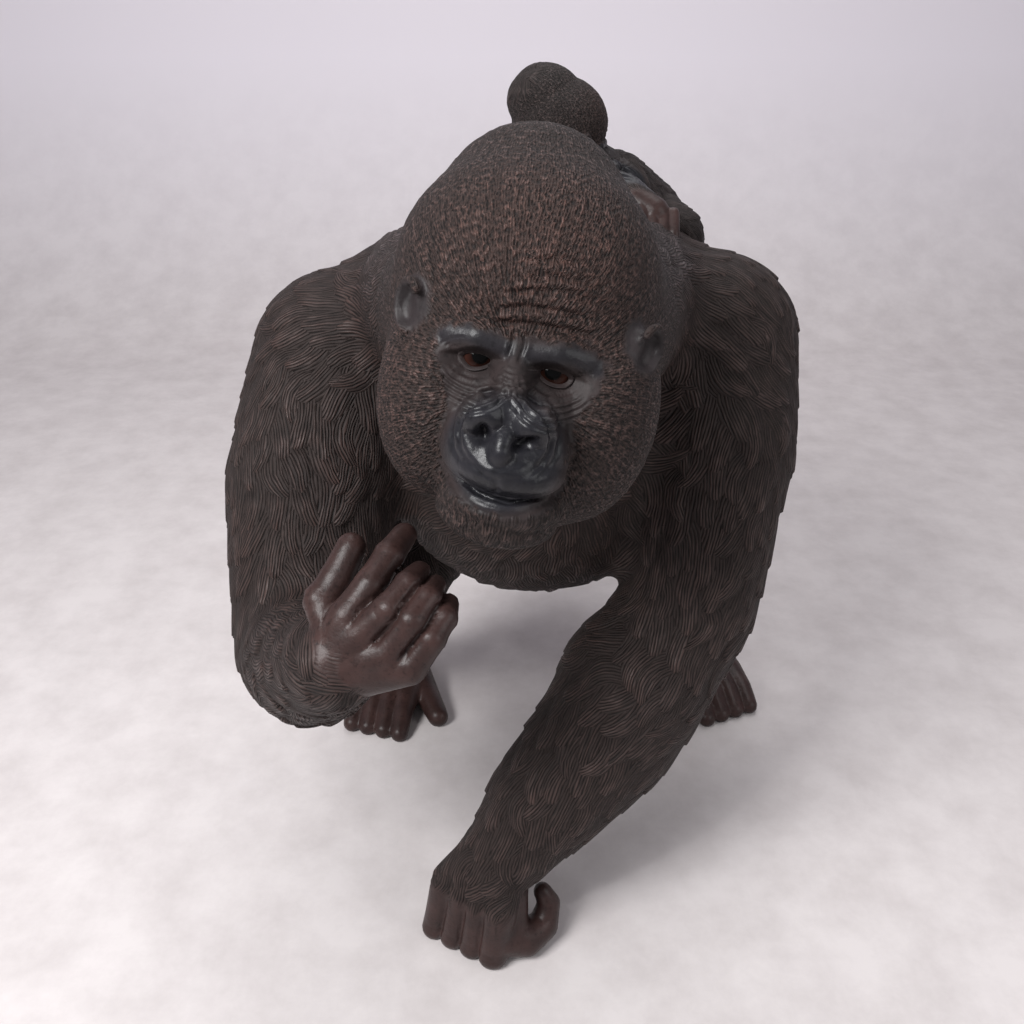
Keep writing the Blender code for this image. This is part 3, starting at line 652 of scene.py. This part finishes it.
class Locks:
    """Locks of fur set all over a skin, none closer to another than its own size."""

    def __init__(self, points, normals, fur, head, combs, scale, seed):
        picks = np.random.default_rng(seed)
        candidates = picks.permutation(np.flatnonzero(fur > 0.3))[:LOCK_TRIES]
        flow = comb_directions(points[candidates], normals[candidates], head, combs)
        on_head = head_share(points[candidates], head)
        sizes = np.array(BODY_LOCK) * (1 - on_head[:, None]) + np.array(HEAD_LOCK) * on_head[:, None]
        sizes = sizes * scale
        grid, kept = {}, []
        cell = 0.036 * scale
        keys = np.floor(points[candidates] / cell).astype(int)
        steps = [(i, j, m) for i in (-1, 0, 1) for j in (-1, 0, 1) for m in (-1, 0, 1)]
        for k, candidate in enumerate(candidates):
            place, key = points[candidate], keys[k]
            clear = True
            for near in [(key[0] + i, key[1] + j, key[2] + m) for i, j, m in steps]:
                for other in grid.get(near, ()):
                    apart = place - points[candidates[other]]
                    run = apart @ flow[other]
                    off = apart @ apart - run * run
                    if off / (1.25 * sizes[other][0]) ** 2 + (run / sizes[other][1]) ** 2 < 1:
                        clear = False
                        break
                if not clear:
                    break
            if clear:
                grid.setdefault(tuple(key), []).append(k)
                kept.append(k)
        kept = np.array(kept)
        self.centres = points[candidates[kept]]
        self.normals = normals[candidates[kept]]
        self.sizes = sizes[kept]
        flow = flow[kept]
        wander = np.array([noise.noise(Vector(centre) * 7) for centre in self.centres])
        wander = wander * 1.1 + picks.normal(0, 0.10, len(kept))
        self.on_head = on_head[kept]
        across = np.cross(self.normals, flow)
        turn = wander * (1 - 0.75 * on_head[kept])
        self.flow = flow * np.cos(turn)[:, None] + across * np.sin(turn)[:, None]
        self.across = np.cross(self.normals, self.flow)
        self.bend = picks.normal(0, 0.28, len(kept)) * (1 - 0.8 * self.on_head)
        self.mark = picks.random(len(kept))
        self.tree = kdtree.KDTree(len(kept))
        for k, centre in enumerate(self.centres):
            self.tree.insert(Vector(centre), k)
        self.tree.balance()

    def at(self, points, normals, neighbours=12):
        """The height of the fur at each point, and the lock on top there."""
        found = (self.tree.find_n(point, neighbours) for point in points.tolist())
        near = np.array([[lock for _, lock, _ in locks] for locks in found])
        apart = points[:, None] - self.centres[near]
        along = (apart * self.flow[near]).sum(2)
        wide, long, _ = self.sizes[near].transpose(2, 0, 1)
        across = (apart * self.across[near]).sum(2) + self.bend[near] * along**2 / long
        facing = (normals[:, None] * self.normals[near]).sum(2) > 0.2
        b = along / long
        room = np.where(b > 0, np.clip(1 - b * b, 0, 1) ** 0.55, np.clip(1 - b * b, 0, 1) ** 0.4) * 1.10
        a = across / (wide * np.maximum(room, 1e-3))
        height = (0.20 + 0.40 * (b + 1)) * np.clip(1 - a * a, 0, 1) ** 0.6 * (0.75 + 0.5 * self.mark[near])
        covered = facing & (np.abs(b) < 1) & (np.abs(a) < 1)
        height = np.where(covered, height, -0.01 * (a * a + b * b) - 10.0 * ~facing)
        top = height.argmax(1)
        row = np.arange(len(points))
        return np.maximum(height[row, top], 0), near[row, top]


def dress(piece, head, combs, scale, bare, seed, most):
    """Carves the locks, thins the mesh to its allowance, and lays out the strands on it as a UV map."""
    points, normals = read_points(piece), read_normals(piece)
    fur = 1 - bare(points)
    locks = Locks(points, normals, fur, head, combs, scale, seed)
    height, top = locks.at(points, normals)
    deep = locks.sizes[top, 2]
    write_points(piece, points + normals * (fur * deep * (height - 0.75))[:, None])
    shape(piece, "TRIANGULATE")
    plain = piece.vertex_groups.new(name="plain")
    plain.add(np.flatnonzero(from_face(points, head) > 1).tolist(), 1, "REPLACE")
    count = len(piece.data.polygons)
    if count > most:
        shape(piece, "DECIMATE", ratio=most / count, vertex_group="plain")
    piece.vertex_groups.clear()
    points, normals = read_points(piece), read_normals(piece)
    height, _ = locks.at(points, normals)
    corners = np.empty(len(piece.data.loops), int)
    piece.data.loops.foreach_get("vertex_index", corners)
    corners = corners.reshape(-1, 3)
    middle = points[corners].mean(1)
    first, second, third = points[corners].transpose(1, 0, 2)
    facing = np.cross(second - first, third - first)
    facing /= np.maximum(np.linalg.norm(facing, axis=1), 1e-12)[:, None]
    _, top = locks.at(middle, facing)
    apart = points[corners] - locks.centres[top][:, None]
    along = (apart * locks.flow[top][:, None]).sum(2)
    across = (apart * locks.across[top][:, None]).sum(2)
    across += locks.bend[top][:, None] * along**2 / locks.sizes[top, 1][:, None]
    on_head = locks.on_head[top]
    period = (BODY_STRAND[0] * (1 - on_head) + HEAD_STRAND[0] * on_head) * scale
    length = (BODY_STRAND[1] * (1 - on_head) + HEAD_STRAND[1] * on_head) * scale
    strands = piece.data.uv_layers.new(name="strands")
    u = across / period[:, None] + (locks.mark[top] * 61)[:, None]
    v = along / length[:, None] + (locks.mark[top] * 37)[:, None]
    strands.data.foreach_set("uv", np.stack([u, v], 2).astype(np.float32).ravel())
    piece.data.shade_smooth()
    return points, normals, height


# The paint
# Near-black acrylic over the whole casting, rubbed back with dry brushes: grey-brown on the strands,
# red-brown on the forehead and cheeks, blue-grey on the face and purple-brown on the hands, then a satin
# varnish on bare skin. The fur is also lighter on its ridges and higher locks and darker in its grooves,
# partly this paint and partly painted highlight and painted shade; the creases of bare skin carry painted
# shade. A warm patch has its strength, its middle and how far it reaches.
WARM_PATCHES = [
    (1.00, (0.010, -0.060, 0.080), (0.095, 0.080, 0.085)),
    (0.55, (-0.090, -0.020, -0.070), (0.060, 0.080, 0.085)),
    (0.35, (0.105, -0.030, -0.060), (0.050, 0.080, 0.080)),
]
COAT, FOREHEAD, FACE = (0.022, 0.0145, 0.0130), (0.036, 0.0195, 0.0160), (0.0110, 0.0110, 0.0135)
HAND, BABY_COAT, BABY_BROW = (0.029, 0.0160, 0.0145), (0.024, 0.0180, 0.0170), (0.036, 0.0195, 0.016)


def float_layer(piece, name, values):
    piece.data.attributes.new(name, "FLOAT", "POINT").data.foreach_set("value", values.astype(np.float32))


def paint(piece, points, height, head, coat, brow, bare_skin, hands):
    """Brushes the colours on as a layer, with a layer for bare skin and one for how high the fur stands."""
    local = to_local(points, head)
    on_head = head_share(points, head)
    warm = np.zeros(len(local))
    for strength, middle, reach in WARM_PATCHES:
        warm += strength * np.exp(-(np.linalg.norm((local - middle) / reach, axis=1) ** 2))
    warm = np.clip(warm * on_head, 0, 1)[:, None]
    tint = np.array(coat) * (1 - warm) + np.array(brow) * warm
    tint = tint * (1 - bare_skin[:, None]) + np.array(FACE) * bare_skin[:, None]
    tint = tint * (1 - hands[:, None]) + np.array(HAND) * hands[:, None]
    flat = local[:, [0, 2]]
    gloss = 1 - ease(np.hypot((flat[:, 0] - 0.006) / 0.054, (flat[:, 1] + 0.082) / 0.052), 0.80, 1.05)
    for side in (-1, 1):
        ridge, _ = near_line(flat, [(side * 0.068, -0.005), (side * 0.045, 0.003), (side * 0.010, -0.003)])
        gloss = np.maximum(gloss, 0.8 - 0.8 * ease(ridge, 0.003, 0.012))
    gloss = np.maximum(gloss, 0.35 * bare_ears(local)) * bare_skin
    dull = 0.65 * (bare_skin * (1 - gloss))[:, None]
    tint = tint * (1 - dull) + np.array(coat) * dull
    colours = np.concatenate([tint, np.ones((len(tint), 1))], 1).astype(np.float32)
    piece.data.attributes.new("tint", "FLOAT_COLOR", "POINT").data.foreach_set("color", colours.ravel())
    float_layer(piece, "bare", np.maximum(bare_skin, hands))
    float_layer(piece, "relief", height)
    float_layer(piece, "short", on_head)
    float_layer(piece, "gloss", np.maximum(gloss, 0.75 * hands))


def add(nodes, kind, settings=(), **inputs):
    """Adds a node, with its settings, and links or sets its inputs by name or by in_NUMBER."""
    made = nodes.new("ShaderNode" + kind)
    for key, value in dict(settings).items():
        setattr(made, key, value)
    for key, value in inputs.items():
        socket = made.inputs[int(key[3:])] if key.startswith("in_") else made.inputs[key.replace("_", " ")]
        if isinstance(value, bpy.types.NodeSocket):
            made.id_data.links.new(value, socket)
        else:
            socket.default_value = value
    return made


def sums(nodes, operation, *values):
    inputs = {f"in_{k}": value for k, value in enumerate(values)}
    return add(nodes, "Math", {"operation": operation}, **inputs).outputs[0]


def blend(nodes, share, a, b, kind="FLOAT"):
    made = add(nodes, "Mix", {"data_type": kind})
    slots = {"FLOAT": (0, 2, 3), "RGBA": (0, 6, 7)}[kind]
    for slot, value in zip(slots, (share, a, b)):
        if isinstance(value, bpy.types.NodeSocket):
            made.id_data.links.new(value, made.inputs[slot])
        else:
            made.inputs[slot].default_value = value
    return made.outputs[{"FLOAT": 0, "RGBA": 2}[kind]]


def painted_resin():
    resin = bpy.data.materials.new("painted_resin")
    resin.use_nodes = True
    nodes = resin.node_tree.nodes
    shader = nodes["Principled BSDF"]
    shader.inputs["Specular IOR Level"].default_value = 0.26
    tint = add(nodes, "Attribute", {"attribute_name": "tint"}).outputs["Color"]
    layers = ("bare", "relief", "short", "gloss")
    layers = [add(nodes, "Attribute", {"attribute_name": layer}) for layer in layers]
    bare, relief, short, gloss = [layer.outputs["Fac"] for layer in layers]
    strands = add(nodes, "UVMap", {"uv_map": "strands"}).outputs[0]
    across, along, _ = add(nodes, "SeparateXYZ", Vector=strands).outputs
    place = add(nodes, "TexCoord").outputs["Object"]

    slow_across, slow_along = sums(nodes, "MULTIPLY", across, 0.22), sums(nodes, "MULTIPLY", along, 0.9)
    drift_place = add(nodes, "CombineXYZ", X=slow_across, Y=slow_along).outputs[0]
    drift = add(nodes, "TexNoise", Vector=drift_place, Scale=1.0, Detail=1.0).outputs[0]
    wavy = sums(nodes, "ADD", across, sums(nodes, "MULTIPLY", drift, blend(nodes, short, 1.6, 0.5)))
    wave = sums(nodes, "SINE", sums(nodes, "MULTIPLY", wavy, math.pi))
    ridge = sums(nodes, "POWER", sums(nodes, "ABSOLUTE", wave), 0.65)
    dashes = sums(nodes, "MULTIPLY", along, 1.6)
    stroke_place = add(nodes, "CombineXYZ", X=wavy, Y=dashes).outputs[0]
    stroke = add(nodes, "TexNoise", Vector=stroke_place, Scale=1.0, Detail=2.0).outputs[0]
    stroke = add(nodes, "MapRange", Value=stroke, From_Min=0.30, From_Max=0.70).outputs[0]
    pellet_place = add(nodes, "CombineXYZ", X=sums(nodes, "MULTIPLY", wavy, 0.8), Y=dashes).outputs[0]
    pellet = add(nodes, "TexNoise", Vector=pellet_place, Scale=1.0, Detail=1.0).outputs[0]
    pellet = add(nodes, "MapRange", Value=pellet, From_Min=0.36, From_Max=0.64).outputs[0]
    strand = blend(nodes, 0.45, ridge, stroke)
    fur = blend(nodes, blend(nodes, short, 0.10, 0.58), strand, pellet)

    leather = add(nodes, "TexNoise", Vector=place, Scale=210.0, Detail=3.0, Roughness=0.6).outputs[0]

    # Painted shade, partly a dark wash: the tint darkened to near black, for the fur's grooves and the
    # skin's creases.
    painted_shade_tint = blend(nodes, 1.0, tint, (0.08, 0.07, 0.07, 1), "RGBA")
    nodes[-1].blend_type = "MULTIPLY"
    # A lighter tint: partly dry-brushed paint and partly painted highlight on the fur's ridges; on bare skin
    # it goes in random worn patches.
    highlight_and_wear_tint = blend(nodes, 1.0, tint, (3.0, 2.8, 2.75, 1), "RGBA")
    nodes[-1].blend_type = "MULTIPLY"
    # low is 0 in the fur's grooves, which get the painted shade; high is 1 on the strand ridges and the
    # higher locks, which get the painted highlight.
    low = add(nodes, "MapRange", Value=fur, From_Min=0.15, From_Max=0.60).outputs[0]
    lift = sums(nodes, "ADD", 0.55, sums(nodes, "MULTIPLY", relief, 0.6))
    raised = sums(nodes, "MULTIPLY", fur, lift)
    high = add(nodes, "MapRange", Value=raised, From_Min=0.55, From_Max=1.05).outputs[0]
    coat = blend(nodes, low, painted_shade_tint, tint, "RGBA")
    coat = blend(nodes, high, coat, highlight_and_wear_tint, "RGBA")
    patches = add(nodes, "TexNoise", Vector=place, Scale=38.0, Detail=4.0).outputs[0]
    worn = add(nodes, "MapRange", Value=patches, From_Min=0.35, From_Max=0.90, To_Max=0.5).outputs[0]
    skin = blend(nodes, worn, tint, highlight_and_wear_tint, "RGBA")
    # Painted shade in the skin's creases: the low points of the leather noise, which also makes the skin's
    # bump, turn toward near black.
    crease_shade = add(nodes, "MapRange", Value=leather, From_Min=0.10, From_Max=0.46).outputs[0]
    skin = blend(nodes, crease_shade, painted_shade_tint, skin, "RGBA")
    colour = blend(nodes, bare, coat, skin, "RGBA")
    resin.node_tree.links.new(colour, shader.inputs["Base Color"])
    rough = blend(nodes, bare, blend(nodes, high, 0.72, 0.38), blend(nodes, gloss, 0.60, 0.32))
    resin.node_tree.links.new(rough, shader.inputs["Roughness"])
    fur_bump = add(nodes, "Bump", Height=fur, Strength=1.0, Distance=0.0026).outputs[0]
    skin_bump = add(nodes, "Bump", Height=leather, Strength=1.0, Distance=0.0004).outputs[0]
    facing = add(nodes, "Mix", {"data_type": "VECTOR"})
    resin.node_tree.links.new(bare, facing.inputs[0])
    resin.node_tree.links.new(fur_bump, facing.inputs[4])
    resin.node_tree.links.new(skin_bump, facing.inputs[5])
    resin.node_tree.links.new(facing.outputs[1], shader.inputs["Normal"])
    return resin


resin = painted_resin()
MOTHER_TRIANGLES, BABY_TRIANGLES = 196000, 110000


def finish_casting(piece):
    """Stands a casting flat on the floor, inside the size of the solid model, and fixes it there."""
    points = read_points(piece) - np.array(MIDDLE)
    low, high = np.array(cad_low), np.array(cad_high)
    points = np.clip(points, low + 0.0002, high - 0.0002)
    points[:, 2] = np.maximum(points[:, 2], 0.0)
    write_points(piece, points)
    piece.data.materials.append(resin)
    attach(piece, "root")
    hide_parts("gorilla_casting")


def mother_bare(points):
    return np.maximum(bare_face(points, HEAD), bare_hands(points))


points, normals, height = dress(mother, HEAD, COMBS, 1.0, mother_bare, 7, MOTHER_TRIANGLES)
paint(mother, points, height, HEAD, COAT, FOREHEAD, bare_face(points, HEAD), bare_hands(points))
finish_casting(mother)

# The baby
# Part of the same casting: it lies along the mother's shoulders with its head up, looking to her left, its
# hands on her shoulders and its legs round her back. Its fur is short and greyer than hers.
BABY_SCALE, BABY_FUR_SCALE = 0.44, 0.55
BABY_VOXEL = 0.0017
BABY_HEAD = Matrix.Translation((0.074, 0.050, 0.978)) @ Matrix.Rotation(math.radians(78), 4, "Z")
BABY_HEAD = BABY_HEAD @ Matrix.Rotation(math.radians(6), 4, "X") @ Matrix.Scale(BABY_SCALE, 4)
BABY_NECK, BABY_HIPS = (0.078, 0.066, 0.954), (0.168, 0.125, 0.866)
BABY_LEFT_SHOULDER, BABY_LEFT_HAND = (0.130, 0.052, 0.918), (0.174, 0.004, 0.901)
BABY_RIGHT_SHOULDER, BABY_RIGHT_HAND = (0.060, 0.090, 0.935), (-0.095, 0.020, 0.885)
BABY_LEFT_FOOT, BABY_RIGHT_FOOT = (0.240, 0.140, 0.813), (0.030, 0.250, 0.863)
BABY_COMBS = [
    (BABY_NECK, BABY_HIPS, 0.06),
    (BABY_LEFT_SHOULDER, BABY_LEFT_HAND, 0.03),
    (BABY_RIGHT_SHOULDER, BABY_RIGHT_HAND, 0.05),
    (BABY_HIPS, BABY_LEFT_FOOT, 0.05),
    (BABY_HIPS, BABY_RIGHT_FOOT, 0.05),
]
clay = []
model_skull(clay, BABY_HEAD)
model_face(clay, BABY_HEAD)
roll(clay, [(BABY_NECK, 0.036), ((0.128, 0.091, 0.903), 0.060), (BABY_HIPS, 0.064)])
roll(clay, [(BABY_LEFT_SHOULDER, 0.027), ((0.150, 0.020, 0.912), 0.023), (BABY_LEFT_HAND, 0.019)])
roll(clay, [(BABY_RIGHT_SHOULDER, 0.032), ((-0.020, 0.070, 0.915), 0.025), (BABY_RIGHT_HAND, 0.020)])
roll(clay, [(BABY_HIPS, 0.058), ((0.212, 0.065, 0.860), 0.038), (BABY_LEFT_FOOT, 0.028)])
roll(clay, [(BABY_HIPS, 0.054), ((0.075, 0.180, 0.898), 0.042), (BABY_RIGHT_FOOT, 0.028)])
for i in range(4):
    x = 0.0135 * (i - 1.25)
    finger = [((x, -0.004, 0.008 - 0.003 * i), 0.0078), ((x, -0.022, -0.008 - 0.004 * i), 0.0072)]
    finger += [((x, -0.030, -0.027 - 0.004 * i), 0.0062)]
    roll(clay, finger, Matrix.Translation(BABY_LEFT_HAND))
baby = knead("gorilla_baby", clay, BABY_VOXEL, 3)
carve_face(baby, BABY_HEAD)


def baby_bare(points):
    return np.maximum(bare_face(points, BABY_HEAD), baby_hands(points))


def baby_hands(points):
    fingers = points - BABY_LEFT_HAND
    return ease(-fingers[:, 1], -0.004, 0.004) * (np.linalg.norm(fingers, axis=1) < 0.055)


points, normals, height = dress(baby, BABY_HEAD, BABY_COMBS, BABY_FUR_SCALE, baby_bare, 11, BABY_TRIANGLES)
skin, hands = bare_face(points, BABY_HEAD), baby_hands(points)
paint(baby, points, height, BABY_HEAD, BABY_COAT, BABY_BROW, skin, hands)
finish_casting(baby)

# The glass eyes
# Polished glass balls set in sockets before the face was painted: dark amber irises round black pupils,
# under a clear bulging front. The whites are brown and hardly show.
GAZE = {"right_eye": (0.10, -1.0, 0.16), "left_eye": (-0.02, -1.0, 0.14)}
GAZE |= {"baby_right_eye": (0, -1, 0), "baby_left_eye": (0, -1, 0)}


def glass_eye(name, centre, gaze, radius):
    """The colours of an eye lie in rings round its gaze."""
    glass = bpy.data.materials.new("glass_" + name)
    glass.use_nodes = True
    nodes = glass.node_tree.nodes
    shader = nodes["Principled BSDF"]
    place = add(nodes, "TexCoord").outputs["Object"]
    apart = add(nodes, "VectorMath", {"operation": "SUBTRACT"}, in_0=place, in_1=tuple(centre)).outputs[0]
    facing = add(nodes, "VectorMath", {"operation": "DOT_PRODUCT"}, in_0=apart, in_1=tuple(gaze))
    facing = sums(nodes, "DIVIDE", facing.outputs["Value"], radius)
    ring = sums(nodes, "ARCCOSINE", sums(nodes, "MINIMUM", facing, 1.0))
    fleck = add(nodes, "TexNoise", Vector=apart, Scale=2.6 / radius, Detail=4.0).outputs[0]
    ring = sums(nodes, "ADD", ring, sums(nodes, "MULTIPLY", sums(nodes, "SUBTRACT", fleck, 0.5), 0.10))
    ramp = add(nodes, "ValToRGB", Fac=ring)
    stops = ramp.color_ramp.elements
    stops[0].position, stops[0].color = 0.24, (0.002, 0.002, 0.002, 1)
    stops[1].position, stops[1].color = 0.30, (0.010, 0.004, 0.003, 1)
    rings = [(0.46, (0.019, 0.007, 0.005, 1)), (0.64, (0.028, 0.010, 0.007, 1))]
    rings += [(0.72, (0.012, 0.005, 0.004, 1)), (0.90, (0.030, 0.014, 0.010, 1))]
    for position, colour in rings:
        stops.new(position).color = colour
    glass.node_tree.links.new(ramp.outputs[0], shader.inputs["Base Color"])
    shader.inputs["Roughness"].default_value = 0.12
    shader.inputs["Specular IOR Level"].default_value = 0.05
    shader.inputs["Coat Weight"].default_value = 0.10
    shader.inputs["Coat Roughness"].default_value = 0.02
    return glass


for prefix, head in (("", HEAD), ("baby_", BABY_HEAD)):
    for side, which in ((-1, "right_eye"), (1, "left_eye")):
        name = prefix + which
        radius = EYE_RADIUS * head.to_scale().x
        centre = head @ Vector(EYE_PLACE * (side, 1, 1)) - MIDDLE
        gaze = (head.to_3x3().normalized() @ Vector(GAZE[name])).normalized()
        bpy.ops.object.select_all(action="DESELECT")
        bpy.ops.mesh.primitive_uv_sphere_add(segments=48, ring_count=32, radius=radius)
        eye = bpy.context.object
        eye.name = "glass_" + name
        for vert in eye.data.vertices:
            bulge = max(0.0, vert.co.z / radius - 0.78)
            vert.co *= 1 + 0.16 * bulge
        eye.data.transform(Matrix.Translation(centre) @ gaze.to_track_quat("Z", "Y").to_matrix().to_4x4())
        eye.data.shade_smooth()
        eye.data.materials.append(glass_eye(name, centre, gaze, radius))
        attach(eye, "root")
        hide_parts(name)

# The studio
# A pale floor sweeping up into a pale wall, one big soft lamp to the left, a weaker one to the right, one
# overhead, a small one for the eyes, and the camera above the mother's head, looking down at her.
bpy.ops.object.select_all(action="DESELECT")
bpy.ops.mesh.primitive_plane_add(size=14, location=(0, 0, 0))
floor = bpy.context.object
floor.name = "floor"
wall_foot, wall_radius = 1.9, 1.0
sweep = [(-7.0, 0.0), (wall_foot, 0.0)]
bends = np.linspace(0, math.pi / 2, 25)[1:]
sweep += [(wall_foot + wall_radius * math.sin(a), wall_radius * (1 - math.cos(a))) for a in bends]
sweep += [(wall_foot + wall_radius, 6.0)]
points = [(x, y, z) for y, z in sweep for x in (-7.0, 7.0)]
faces = [(2 * k, 2 * k + 1, 2 * k + 3, 2 * k + 2) for k in range(len(sweep) - 1)]
floor.data.clear_geometry()
floor.data.from_pydata(points, [], faces)
floor.data.shade_smooth()
paper = bpy.data.materials.new("studio_paper")
paper.use_nodes = True
nodes = paper.node_tree.nodes
place = add(nodes, "TexCoord").outputs["Object"]
stain = add(nodes, "TexNoise", Vector=place, Scale=9.0, Detail=8.0, Roughness=0.68).outputs[0]
ramp = add(nodes, "ValToRGB", Fac=stain)
stops = ramp.color_ramp.elements
stops[0].position, stops[0].color = 0.34, (0.600, 0.555, 0.550, 1)
stops[1].position, stops[1].color = 0.62, (0.700, 0.655, 0.650, 1)
height_up = add(nodes, "SeparateXYZ", Vector=place).outputs["Z"]
up = add(nodes, "MapRange", Value=height_up, From_Min=0.0, From_Max=0.9).outputs[0]
colour = blend(nodes, up, ramp.outputs[0], (0.860, 0.815, 0.875, 1), "RGBA")
paper.node_tree.links.new(colour, nodes["Principled BSDF"].inputs["Base Color"])
nodes["Principled BSDF"].inputs["Roughness"].default_value = 0.7
floor.data.materials.append(paper)


def lamp(name, place, target, size, power):
    bpy.ops.object.light_add(type="AREA", location=place)
    made = bpy.context.object
    made.name = name
    made.data.size = size
    made.data.energy = power
    made.rotation_euler = (Vector(target) - Vector(place)).to_track_quat("-Z", "Y").to_euler()


lamp("key_softbox", (-1.5, -1.7, 2.3), (0, 0, 0.6), 1.1, 86)
lamp("fill_softbox", (2.2, -1.6, 1.7), (0, 0, 0.5), 1.6, 18)
lamp("top_softbox", (0.2, 0.6, 2.9), (0, 0.1, 0.6), 1.8, 28)
lamp("eye_sparkle", (-0.38, -1.15, 1.50), (0, -0.43, 0.85), 0.06, 2.4)
world = bpy.data.worlds.new("studio")
bpy.context.scene.world = world
world.use_nodes = True
world.node_tree.nodes["Background"].inputs[0].default_value = (0.95, 0.94, 1.0, 1)
world.node_tree.nodes["Background"].inputs[1].default_value = 0.30
bpy.ops.object.camera_add(location=Vector((0, -1.25, 1.15)) - MIDDLE, rotation=(math.radians(62), 0, 0))
camera = bpy.context.object
camera.data.lens = 35
camera.data.sensor_width = 36
bpy.context.scene.camera = camera
bpy.context.scene.view_settings.view_transform = "Standard"
